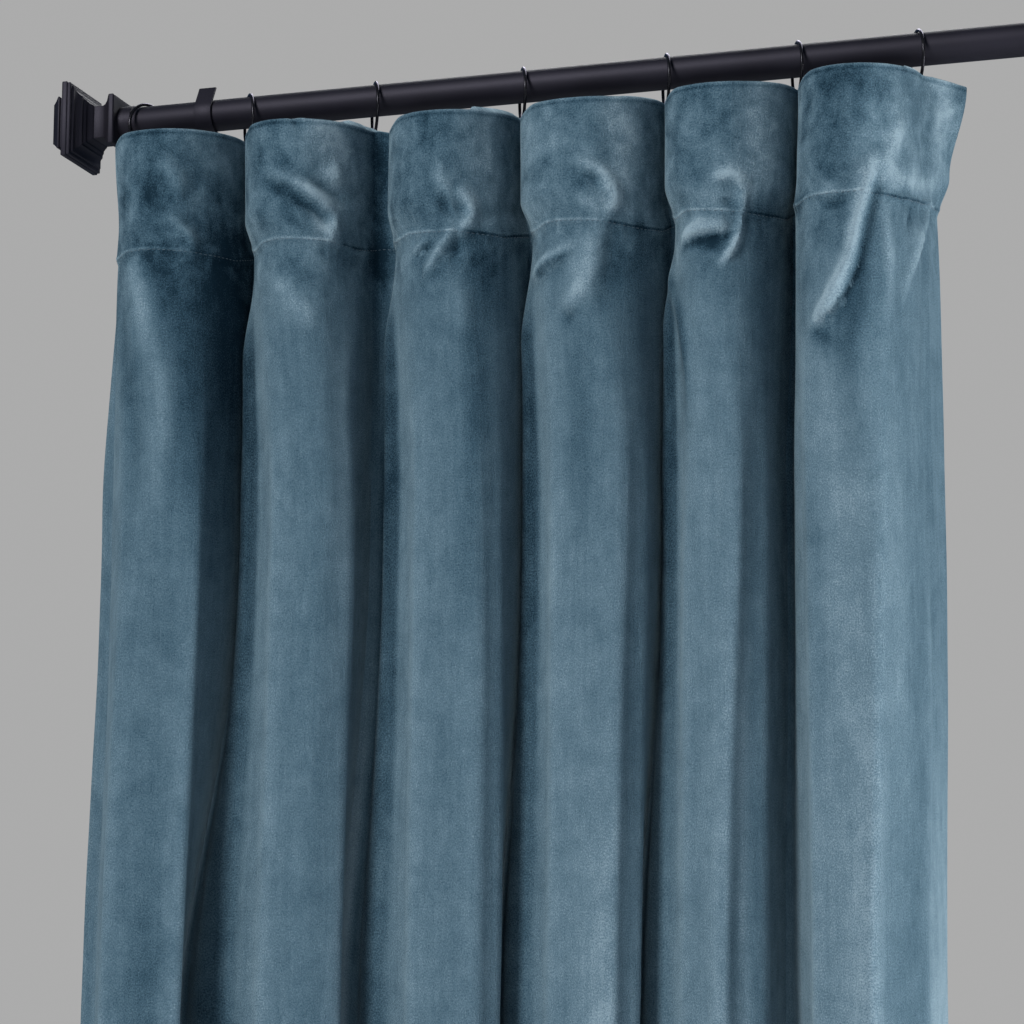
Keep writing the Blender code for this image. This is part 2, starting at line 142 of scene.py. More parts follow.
def makeVelvet(look):
    velvet, tree, shader = newMaterial("velvetPile", {
        "Roughness": 0.85, "Specular IOR Level": 0.15, "Specular Tint": (0.45, 0.8, 1, 1),
        "Sheen Roughness": 0.5, "Sheen Tint": (0.7, 0.92, 1, 1)})
    cloth = addNode(tree, "UVMap", uv_map="cloth").outputs["UV"]
    height = addNode(tree, "SeparateXYZ", {"Vector": cloth}).outputs["Y"]
    low, high = look["headingFoot"]
    heading = addNode(tree, "MapRange", {"Value": height, "From Min": low, "From Max": high},
                      interpolation_type="SMOOTHSTEP").outputs[0]
    # light and shade painted on the cloth, read from its mesh
    paintedShading = addNode(tree, "Attribute", attribute_name="paintedShading").outputs["Fac"]
    total = addMaths(tree, "MULTIPLY", paintedShading, look["paintedShading"])
    layers = {}
    for name, row in look["layers"].items():
        layers[name] = addNoise(tree, cloth, row["scale"], row["detail"], row["stretch"],
                                look["roughness"], look["distortion"])
        amount = addRange(tree, heading, row["body"], row["heading"])
        part = addMaths(tree, "MULTIPLY", addMaths(tree, "SUBTRACT", layers[name], 0.5), amount)
        total = addMaths(tree, "ADD", total, part)
    factor = addMaths(tree, "ADD", total, 0.5)
    tree.links.new(addRamp(tree, factor, look["shades"]), shader.inputs["Base Color"])
    # the sheen weight follows the same factor, so painted shade dims the sheen too
    tree.links.new(addMaths(tree, "MULTIPLY", factor, look["sheen"]), shader.inputs["Sheen Weight"])
    normal = None
    for name, (distance, strength) in look["bumps"].items():
        normal = addBump(tree, layers[name], distance, strength, normal)
    tree.links.new(normal, shader.inputs["Normal"])
    return velvet


threadLook = {"strands": 1800, "shades": ((0.3, (0.03, 0.062, 0.088)), (0.7, (0.088, 0.142, 0.182)))}


def makeThread(look):
    thread, tree, shader = newMaterial("sewingThread", {"Roughness": 0.6, "Sheen Weight": 0.3})
    place = addNode(tree, "TexCoord").outputs["Object"]
    strands = addNoise(tree, place, look["strands"], 2)
    tree.links.new(addRamp(tree, strands, look["shades"]), shader.inputs["Base Color"])
    return thread


# metals: satin black on the rod, finials and brackets, smoother black on the wire
paintLook = {"shades": ((0.3, (0.0045, 0.004, 0.006)), (0.7, (0.009, 0.008, 0.012))), "metallic": 0,
             "roughness": (0.5, 0.64), "grain": 900, "bump": 0.00006}
wireLook = {"shades": ((0.3, (0.01, 0.01, 0.011)), (0.7, (0.022, 0.021, 0.023))), "metallic": 0.55,
            "roughness": (0.18, 0.34), "grain": 1400, "bump": 0.00003}


def makeBlackMetal(name, look):
    metal, tree, shader = newMaterial(name, {"Metallic": look["metallic"], "Specular IOR Level": 0.34,
                                             "Specular Tint": (0.84, 0.8, 1, 1)})
    place = addNode(tree, "TexCoord").outputs["Object"]
    cloudy = addNoise(tree, place, 22, 4)
    grain = addNoise(tree, place, look["grain"])
    tree.links.new(addRamp(tree, cloudy, look["shades"]), shader.inputs["Base Color"])
    tree.links.new(addRange(tree, grain, *look["roughness"]), shader.inputs["Roughness"])
    tree.links.new(addBump(tree, grain, look["bump"]), shader.inputs["Normal"])
    return metal


velvet = makeVelvet(velvetLook)
thread = makeThread(threadLook)
satinBlack = makeBlackMetal("satinBlackPaint", paintLook)
wireBlack = makeBlackMetal("wireBlack", wireLook)
print("materials ready")


# modelling helpers
def nothingSelected():
    if bpy.context.object and bpy.context.object.mode != "OBJECT":
        bpy.ops.object.mode_set(mode="OBJECT")
    bpy.ops.object.select_all(action="DESELECT")


def choose(piece):
    nothingSelected()
    piece.select_set(True)
    bpy.context.view_layer.objects.active = piece


def applyAll(piece):
    choose(piece)
    for modifier in list(piece.modifiers):
        bpy.ops.object.modifier_apply(modifier=modifier.name)
    bpy.ops.object.transform_apply(location=True, rotation=True, scale=True)


def bevelEdges(piece, width, segments=2, angle=30):
    bevel = piece.modifiers.new("edges", "BEVEL")
    bevel.width = width
    bevel.segments = segments
    bevel.limit_method = "ANGLE"
    bevel.angle_limit = math.radians(angle)
    applyAll(piece)


def joinSolid(piece, other, operation="UNION"):
    cut = piece.modifiers.new("solid", "BOOLEAN")
    cut.object = other
    cut.operation = operation
    cut.solver = "EXACT"
    choose(piece)
    bpy.ops.object.modifier_apply(modifier=cut.name)
    bpy.data.objects.remove(other)


def finishPiece(piece, name, finish, nodes, smoothAngle=40):
    applyAll(piece)
    bpy.ops.object.shade_smooth_by_angle(angle=math.radians(smoothAngle))
    piece.name = name
    piece.data.name = name
    piece.data.materials.clear()
    piece.data.materials.append(finish)
    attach(piece, "root")
    if nodes:
        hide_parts(*nodes)
    return piece


def editAll():
    bpy.ops.object.mode_set(mode="EDIT")
    bpy.ops.mesh.select_all(action="SELECT")


def pull(x, y, z):
    bpy.ops.mesh.extrude_region_move(TRANSFORM_OT_translate={"value": (x, y, z)})


def closeEdit():
    bpy.ops.mesh.select_all(action="SELECT")
    bpy.ops.mesh.remove_doubles(threshold=0.00001)
    bpy.ops.mesh.normals_make_consistent(inside=False)
    bpy.ops.object.mode_set(mode="OBJECT")


alongX = (0, math.pi / 2, 0)
alongY = (math.pi / 2, 0, 0)


def addBar(sides, diameter, length, place, turn):
    nothingSelected()
    bpy.ops.mesh.primitive_cylinder_add(vertices=sides, radius=diameter / 2 * mm, depth=length,
                                        location=place, rotation=turn)
    return bpy.context.object


def addHoop(radius, wire, steps, sides, place, turn):
    nothingSelected()
    bpy.ops.mesh.primitive_torus_add(major_radius=radius * mm, minor_radius=wire / 2 * mm,
                                     major_segments=steps, minor_segments=sides, location=place,
                                     rotation=turn)
    hoop = bpy.context.object
    applyAll(hoop)
    return hoop


def linkMesh(name, points, faces):
    mesh = bpy.data.meshes.new(name)
    mesh.from_pydata(points, [], faces)
    piece = bpy.data.objects.new(name, mesh)
    bpy.context.scene.collection.objects.link(piece)
    return piece


# rod: one bar with softened ends
rodLook = {"sides": 128, "endBevel": 0.8}


def makeRod(look):
    rod = addBar(look["sides"], rodSize["diameter"], rodSize["length"] * mm,
                 ((rodStart + rodEnd) / 2, rodY, rodZ), alongX)
    bevelEdges(rod, look["endBevel"] * mm, 3, 60)
    return finishPiece(rod, "curtainRod", satinBlack, ["rod"])


makeRod(rodLook)
print("rod ready")

# finial: square, stepped, with a round collar; each step is along it and half its side
finialLook = {
    "steps": ((0, 1.5), (1.3, 12), (2.2, 16.6), (3.4, 17.4), (5.4, 19), (7.4, 21), (8.2, 21.8),
              (9.6, 21.8), (10.2, 20.6), (15, 20.6),
              (15.6, 30.4), (16.2, 31), (20.2, 31), (20.5, 30.2), (22.8, 30.2), (23.3, 29.4),
              (23.4, 27.8), (24.9, 27.1), (25.4, 24.6), (26.6, 22.7), (28.2, 21.3), (29.6, 20.6),
              (29.9, 19.2), (31.9, 17.7), (32.3, 16.6), (34.4, 15.1), (36.4, 14), (36.8, 13.4),
              (44.6, 13.4), (46.8, 14.3), (49.2, 16.3), (51.2, 19), (52.2, 20.2), (52.8, 20.5),
              (56.2, 20.5), (57, 19.7)),
    "length": 68.6, "edge": 0.35, "collar": 28.6, "collarStart": 54, "collarEdge": 0.6,
}


def makeFinial(name, node, endX, outwards, look):
    nothingSelected()
    tip = endX + outwards * (look["length"] + gap) * mm
    before = look["steps"][0]
    bpy.ops.mesh.primitive_plane_add(size=2 * before[1] * mm, location=(tip, rodY, rodZ), rotation=alongX)
    finial = bpy.context.object
    applyAll(finial)
    editAll()
    for step in look["steps"][1:]:
        pull(-outwards * (step[0] - before[0]) * mm, 0, 0)
        grow = step[1] / before[1]
        bpy.ops.transform.resize(value=(1, grow, grow),
                                 center_override=(tip - outwards * step[0] * mm, rodY, rodZ))
        before = step
    closeEdit()
    bevelEdges(finial, look["edge"] * mm, 2, 24)
    start = endX + outwards * gap * mm
    length = (look["length"] - look["collarStart"]) * mm
    collar = addBar(96, look["collar"], length, (start + outwards * length / 2, rodY, rodZ), alongX)
    bevelEdges(collar, look["collarEdge"] * mm, 3, 60)
    joinSolid(finial, collar)
    return finishPiece(finial, name, satinBlack, [node], 32)


makeFinial("finialLeft", "finial_left", rodStart, -1, finialLook)
makeFinial("finialRight", "finial_right", rodEnd, 1, finialLook)
print("finials ready")

# bracket: wall plate, and a strap under the rod and up its front
bracketLook = {"plate": (24, 3, 72), "corner": 4, "hole": 5, "holeSpacing": 54,
               "strap": (14.5, 2), "wrap": 120, "top": 23, "edge": 0.35}


def makeStrap(x, look):
    width, thick = look["strap"]
    inner = (rodSize["diameter"] / 2 + gap) * mm
    startY = -look["plate"][1] / 2 * mm
    nothingSelected()
    bpy.ops.mesh.primitive_plane_add(size=1, location=(x, startY, rodZ - inner - thick / 2 * mm),
                                     rotation=alongY)
    strap = bpy.context.object
    strap.scale = (width * mm, thick * mm, 1)
    applyAll(strap)
    editAll()
    pull(0, rodY - startY, 0)
    bpy.ops.mesh.spin(steps=36, angle=math.radians(look["wrap"]), center=(x, rodY, rodZ),
                      axis=(1, 0, 0))
    lean = math.radians(look["wrap"] - 60)
    reach = 2 * look["top"] * mm        # past the strap's end, which is then cut level
    pull(0, reach * math.cos(lean), reach * math.sin(lean))
    bpy.ops.mesh.select_all(action="SELECT")
    bpy.ops.mesh.bisect(plane_co=(x, rodY, rodZ + look["top"] * mm), plane_no=(0, 0, 1),
                        use_fill=True, clear_outer=True)
    closeEdit()
    return strap


def makeBracket(name, node, x, look):
    wide, thick, high = (side * mm for side in look["plate"])
    nothingSelected()
    bpy.ops.mesh.primitive_cube_add(size=1, location=(x, -thick / 2, 0), scale=(wide, thick, high))
    plate = bpy.context.object
    applyAll(plate)
    bpy.ops.object.mode_set(mode="EDIT")
    bpy.ops.mesh.select_mode(type="EDGE")
    bpy.ops.mesh.select_all(action="DESELECT")
    shape = bmesh.from_edit_mesh(plate.data)
    for edge in shape.edges:
        along = edge.verts[0].co - edge.verts[1].co
        edge.select = abs(along.y) > 0.9 * thick and abs(along.x) + abs(along.z) < 1e-6
    bmesh.update_edit_mesh(plate.data)
    bpy.ops.mesh.bevel(offset=look["corner"] * mm, segments=6)
    bpy.ops.mesh.select_mode(type="VERT")
    bpy.ops.object.mode_set(mode="OBJECT")
    for side in (-1, 1):
        hole = addBar(40, look["hole"], 4 * thick, (x, -thick / 2, side * look["holeSpacing"] / 2 * mm),
                      alongY)
        joinSolid(plate, hole, "DIFFERENCE")
    joinSolid(plate, makeStrap(x, look))
    bevelEdges(plate, look["edge"] * mm, 2, 40)
    return finishPiece(plate, name, satinBlack, [node])


makeBracket("bracketLeft", "bracket_left", 0, bracketLook)
makeBracket("bracketRight", "bracket_right", (rodSize["length"] - 2 * rodSize["overhang"]) * mm, bracketLook)
print("brackets ready")

# rings and their hooks
ringLook = {
    "radius": 20.6, "wire": 2.5, "eyeRadius": 3.6, "eyeWire": 2, "eyeSink": 0.7, "edge": 0.25,
    "along": (-52.9, 34.8, 142.5, 265.2, 381.2, 484.3, 576.5),
    "turn": (-24, 31, 26, 23, 21, 22, 23),               # degrees
    "drop": (30, 31, 31, 31, 29.5, 28.5, 26.5),         # of the cloth's edge at each ring
}
hookLook = {"wire": 1.6, "shank": 28, "pin": 24, "bend": 2.8, "reach": 19.5, "heading": 5,
            "lead": 4, "tip": 2, "tipShare": 0.35}
ringDrop = ringLook["radius"] - ringLook["wire"] / 2 - rodSize["diameter"] / 2 - gap
eyeDrop = (ringLook["radius"] + ringLook["wire"] / 2 + ringLook["eyeRadius"] + ringLook["eyeWire"] / 2
           - ringLook["eyeSink"])


def makeRing(look):
    ring = addHoop(look["radius"], look["wire"], 96, 16, (0, 0, 0), alongX)
    eye = addHoop(look["eyeRadius"], look["eyeWire"], 40, 12, (0, 0, -eyeDrop * mm), alongY)
    joinSolid(ring, eye)
    bevelEdges(ring, look["edge"] * mm, 2, 50)
    return ring


def makeHook(look, ring):
    # the eye's middle is at the origin here, and the cloth is towards -Y
    over = (ring["eyeWire"] / 2 + look["wire"] / 2 + gap) * mm
    pin = (look["reach"] - look["heading"] - 2 * gap - look["wire"] / 2) * mm
    eyeFoot = -ring["eyeRadius"] * mm
    bend = look["bend"] * mm
    footZ = eyeFoot - look["shank"] * mm
    nothingSelected()
    bpy.ops.mesh.primitive_circle_add(vertices=12, radius=look["wire"] / 2 * mm, fill_type="NGON",
                                      location=(0, over, eyeFoot - look["lead"] * mm))
    hook = bpy.context.object
    applyAll(hook)
    editAll()
    pull(0, 0, look["lead"] * mm)
    bpy.ops.mesh.spin(steps=12, angle=math.pi, center=(0, 0, eyeFoot), axis=(-1, 0, 0))
    pull(0, -(pin - 2 * bend) + over, -look["shank"] * mm)
    bpy.ops.mesh.spin(steps=12, angle=math.pi, center=(0, -(pin - bend), footZ), axis=(1, 0, 0))
    pull(0, 0, (look["pin"] - look["tip"]) * mm)
    pull(0, 0, look["tip"] * mm)
    bpy.ops.transform.resize(value=(look["tipShare"], look["tipShare"], 1),
                             center_override=(0, -pin, footZ + look["pin"] * mm))
    closeEdit()
    return hook


def placedCopy(pattern, number, down):
    copied = pattern.copy()
    copied.data = pattern.data.copy()
    bpy.context.scene.collection.objects.link(copied)
    spin = Matrix.Rotation(math.radians(ringLook["turn"][number]), 4, "Z")
    place = (ringLook["along"][number] * mm, rodY, rodZ - down * mm)
    copied.matrix_world = Matrix.Translation(place) @ spin
    return copied


ringPattern = makeRing(ringLook)
hookPattern = makeHook(hookLook, ringLook)
ringCount = len(ringLook["along"])
for number in range(ringCount):
    for pattern, name, node, down in ((ringPattern, "wireRing", "ring", ringDrop),
                                      (hookPattern, "pinHook", "hook", ringDrop + eyeDrop)):
        finishPiece(placedCopy(pattern, number, down), f"{name}{number}", wireBlack,
                    [f"{node}_{number}"], 60)
bpy.data.objects.remove(ringPattern)
bpy.data.objects.remove(hookPattern)
print("rings and hooks ready")

# drape: one cloth, its folds stated at depths below the top edge
drapeLook = {
    "drop": 2134, "flatWidth": 1270, "cloth": 2, "pocket": 5, "pocketEnd": (-6, -1),
    "seam": 97, "hem": 76, "reach": 19.5, "smoothing": 3,
    "samples": 60, "stripSamples": 8, "columnStep": 3.15, "backStep": 4,
    # rows of the mesh: from, to and step
    "rowSteps": ((1.6, 7.6, 1.2), (7.6, 84, 3.1), (84, 93, 1.6), (93, 101.5, 0.7),
                 (101.5, 130, 1.8), (130, 210, 3.2), (210, 420, 8), (420, 760, 20),
                 (760, 2040, 58), (2040, 2076, 6), (2076, 2134, 15)),
    # columns stand closer on the fronts of the folds than in the valleys: how much, and where
    "crowding": ((0.9, (0.04, 0.12), (0.74, 0.84)), (0.5, (0.28, 0.36), (0.72, 0.8))), "sparse": 0.6,
    "levels": (0, 70, 100, 300, 700, 2134),
    # one of each for a fold: depth, lean and bulge at each level, and the shares of its soft
    # corners at the two corner depths
    "folds": {
        "depth": ((75, 75, 74, 73, 74, 76), (74, 74, 71, 72, 73, 74), (70, 70, 67, 69, 70, 70),
                  (72, 72, 69, 70, 70, 71), (73, 73, 70, 71, 72, 72), (77, 77, 76, 76, 76, 74)),
        "lean": ((-4, -4, 0, 12, 12, 8), (-6, -6, 2, 12, 10, 6), (-2, -2, 2, 6, 6, 4),
                 (-4, -2, 0, 6, 6, 2), (-6, -4, 0, 4, 4, 4), (-6, -6, 0, 6, 8, 4)),
        "bulge": ((4, 3, 3, 2, 2, 0), (0, 1, 0, 0, 0, 0), (1, 2, 0, 0, 0, 0),
                  (3, 3, 0, 0, 0, 0), (4, 5, 1, 0, 0, 0), (3, 5, 4, 3, 2, 0)),
        "inset": ((3.5, 3.5), (3.5, 3.5), (17, 3.5), (3.5, 3.5), (3.5, 3.5), (3.5, 1)),
        "sag": (8, 8.5, 10.5, 11, 11, 10.5), "flare": (0, 11, 11, 11, 11, 0),
        "corners": (((0.33, 0.31), (0.65, 0.61)), ((0.36, 0.33), (0.78, 0.73)),
                    ((0.34, 0.33), (0.65, 0.62), (0.76, 0.74)), ((0.31, 0.28), (0.66, 0.59), (0.78, 0.73)),
                    ((0.29, 0.25), (0.59, 0.49), (0.77, 0.72)), ((0.3, 0.28), (0.64, 0.54), (0.96, 0.87))),
    },
    # how far each hook's valley moves sideways at each level, and then how far its foot opens
    "valleys": ((0, 4, 0, -9, -17, -22), (0, 2, 6, 11, 11, 0), (0, 0, 2, 6, 6, 4), (0, 0, 6, 10, 11, 8),
                (0, 0, 3, 3, 1, 2), (0, -1, -6, -11.5, -11, -8), (1, -1, -3, -4, -9, -8)),
    "opened": ((0, 0, 0, 0, 0, 0), (0, 0, -6, -20, -58, -56), (0, 0, -2, -12, -32, -30),
               (0, 0, -5, -14, -32, -30), (0, 0, -3, -12, -30, -28), (0, 0, -2, -6, -10, -8),
               (0, 0, 0, 0, 0, 0)),
    # flatness of the folds' faces at each level; crown is how much of the roundness they keep
    "flatness": (0, 0, 0, 0.5, 1, 1), "crown": 0.5, "cornerDepths": (300, 700),
    "flareAt": (0.09, 0.07), "flareDepths": (108, 175),
    "leftStrip": {"length": 34, "start": 9, "turn": (4, 4, 1, 5, 8, 9)},
    "rightStrip": {"length": 42, "start": 2.5, "turn": (34, 13, 3, 4, 2, 0)},
    # top edge: how steeply it sags from each hook, a drop at its corner, and the raised middles
    "steepness": (0.5, 1.2), "cornerDrop": 5, "raised": (3, 2.8, 1.5, 0.4, 0.6, 2),
    "raisedOver": 45, "raisedShape": 0.6,
    # back layer of the pocket, where it stands above the front one: from, to and rise
    "backPeeks": ((1.8, 1.985, 4.8), (2.68, 2.95, 4.3), (3.7, 3.92, 1.5), (5.8, 5.97, 3)),
    "edgeTurn": ((35, 0), (90, 0.35), (145, 0.9)),
}
foldCount = len(drapeLook["folds"]["sag"])


def smoothStep(value, low, high):
    part = np.clip((value - low) / (high - low), 0, 1)
    return part * part * (3 - 2 * part)


def band(value, rise, fall):
    return smoothStep(value, *rise) * smoothStep(-value, -fall[1], -fall[0])


def bell(offset, width):
    return np.exp(-(offset / width) ** 2)


def resampled(spots, known, points):
    return np.stack([np.interp(spots, known, column) for column in points.T], 1)


def blurred(padded, weights):
    weights = weights / weights.sum()
    return np.stack([np.convolve(column, weights, "valid") for column in padded.T], 1)


def runAlong(points):
    return np.concatenate(([0], np.cumsum(np.hypot(*np.diff(points[:, :2], axis=0).T))))


def foldPart(share):
    fold = np.clip(share.astype(int), 0, foldCount - 1)
    return fold, np.clip(share - fold, 0, 1)


def atLevel(values, depth):
    levels = drapeLook["levels"]
    spot = np.interp(depth, levels, np.arange(len(levels)))
    low = min(int(spot), len(levels) - 2)
    part = spot - low
    return values[low] + (values[low + 1] - values[low]) * part * part * (3 - 2 * part)


def valleyPoint(number, depth):
    angle = math.radians(ringLook["turn"][number])
    shift = atLevel(drapeLook["valleys"][number], depth)
    return np.array((ringLook["along"][number] + drapeLook["reach"] * math.sin(angle) + shift,
                     -rodSize["fromWall"] - drapeLook["reach"] * math.cos(angle)))


def foldPlan(number, depth):
    look = drapeLook
    fold = {name: values[number] for name, values in look["folds"].items()}
    left = valleyPoint(number, depth) + (fold["inset"][0], 0)
    right = valleyPoint(number + 1, depth) - (fold["inset"][1], 0)
    angle = np.linspace(0, math.pi, look["samples"])
    crest = np.sin(angle)
    points = left + np.outer((1 - np.cos(angle)) / 2, right - left)
    points[:, 0] += atLevel(fold["lean"], depth) * crest ** 2
    points[:, 0] -= atLevel(fold["bulge"], depth) * np.sin(2 * angle)
    points[:, 1] -= atLevel(fold["depth"], depth) * crest
    # below the heading the round fold turns into flat faces between soft corners
    share = angle / math.pi
    corners = [np.interp(depth, look["cornerDepths"], pair) for pair in fold["corners"]]
    knots = np.array([0] + corners + [1])
    spots = resampled(knots, share, points)
    spots[0, 0] += atLevel(look["opened"][number], depth)
    spots[-1, 0] += atLevel(look["opened"][number + 1], depth)
    flat = resampled(share, knots, spots)
    crown = look["crown"] * band(share, (corners[0] - 0.1, corners[0]), (corners[1], corners[1] + 0.1))
    points += (flat - points) * atLevel(look["flatness"], depth) * (1 - crown[:, None])
    # the left side of the fold stands out a little below the heading
    middle, width = look["flareAt"]
    points[:, 0] -= fold["flare"] * smoothStep(depth, *look["flareDepths"]) * bell(share - middle, width)
    return points


def stripPlan(strip, number, outwards, depth):
    start = valleyPoint(number, depth) + (outwards * strip["start"], 0)
    angle = math.radians(atLevel(strip["turn"], depth))
    way = np.array((outwards * math.sin(angle), math.cos(angle)))
    return start + np.outer(np.linspace(0, strip["length"], drapeLook["stripSamples"]), way)


def rounded(points):
    reach = int(2 * drapeLook["smoothing"])
    before = 2 * points[0] - points[reach:0:-1]
    after = 2 * points[-1] - points[-2:-reach - 2:-1]
    weights = np.exp(-0.5 * (np.arange(-reach, reach + 1) / drapeLook["smoothing"]) ** 2)
    return blurred(np.vstack([before, points, after]), weights)


def clothPlan(depth):
    # the front of the cloth in plan at one depth, 1 mm apart, with the share of a fold run:
    # whole numbers from 0 to 6 are the hooks
    pieces = [stripPlan(drapeLook["leftStrip"], 0, -1, depth)[::-1]]
    shares = [np.linspace(-1, 0, len(pieces[0]))]
    for number in range(foldCount):
        pieces.append(foldPlan(number, depth))
        shares.append(number + np.linspace(0.03, 0.97, drapeLook["samples"]))
    pieces.append(stripPlan(drapeLook["rightStrip"], foldCount, 1, depth))
    shares.append(foldCount + np.linspace(0, 1, len(pieces[-1])))
    points = np.vstack(pieces)
    run = runAlong(points)
    even = np.linspace(0, run[-1], int(run[-1]) + 1)
    return rounded(resampled(even, run, points)), np.interp(even, run, np.concatenate(shares)), even


def edgeDrop(share):
    sags = np.array(drapeLook["folds"]["sag"])
    hooks = np.interp(share, np.arange(ringCount), ringLook["drop"])
    fold, part = foldPart(share)
    low, high = drapeLook["steepness"]
    corner = drapeLook["cornerDrop"] * band(part, (0, 0.16), (0.22, 0.36))
    return hooks + sags[fold] * np.sin(math.pi * part) ** (low + (high - low) * part) + corner


def edgeRaise(share):
    fold, part = foldPart(share)
    return np.array(drapeLook["raised"])[fold] * np.sin(math.pi * part) ** drapeLook["raisedShape"]


# seam: its line of (share, depth below the top edge), and the fullness beside it
seamLook = {
    "line": (
        (-1, 97), (0, 93), (0.16, 89), (0.3, 94), (0.5, 94.5), (0.7, 99), (0.85, 101), (1, 95), (1.14, 87),
        (1.28, 93), (1.46, 92.5), (1.66, 95), (1.85, 100), (2, 96), (2.16, 87.5), (2.3, 92.5), (2.55, 95),
        (2.8, 99.5), (3, 95), (3.14, 88), (3.28, 93), (3.4, 93.5), (3.56, 96), (3.78, 102.5), (3.9, 103),
        (4, 97), (4.14, 88), (4.27, 93), (4.52, 98), (4.75, 102.5), (4.9, 103), (5, 97), (5.14, 89),
        (5.3, 94), (5.55, 95.5), (5.75, 100.5), (6, 99), (7, 95)),
    "reach": 70, "lip": 0.5, "lipUp": 1.8, "lipWidth": 1.6, "groove": 0.25, "grooveWidth": 0.9,
    "step": 1.5, "stepStart": (-0.5, 4.5), "stepLength": 40,
    "pucker": 0.45, "puckerWaves": (0.62, 0.23), "puckerDown": 3, "puckerReach": 6,
    # the seam is also painted into the colour: a painted highlight line on the left of each fold and a
    # painted shade line on its right
    "lightEnds": (0.64, 0.735, 0.6, 0.61, 0.63, 0.62), "dark": 2.1, "start": 0.8,
    "lineUp": 1, "lineWidth": 1.1, "lineWaves": (1.9, 0.53), "uneven": 0.35,
}


def seamShift(share):
    shares, depths = np.array(seamLook["line"]).T
    return np.interp(share, shares, depths - drapeLook["seam"])


def seamRelief(down, across, look):
    # down is the distance below the seam, across is along it
    lip = look["lip"] * bell(down + look["lipUp"], look["lipWidth"])
    groove = -look["groove"] * bell(down, look["grooveWidth"])
    fade = np.exp(-np.maximum(down, 0) / look["stepLength"])
    step = -look["step"] * smoothStep(down, *look["stepStart"]) * fade
    first, second = look["puckerWaves"]
    puckers = look["pucker"] * np.sin(across * first) * np.sin(across * second + 1)
    return lip + groove + step + puckers * np.exp(-np.abs(down - look["puckerDown"]) / look["puckerReach"])
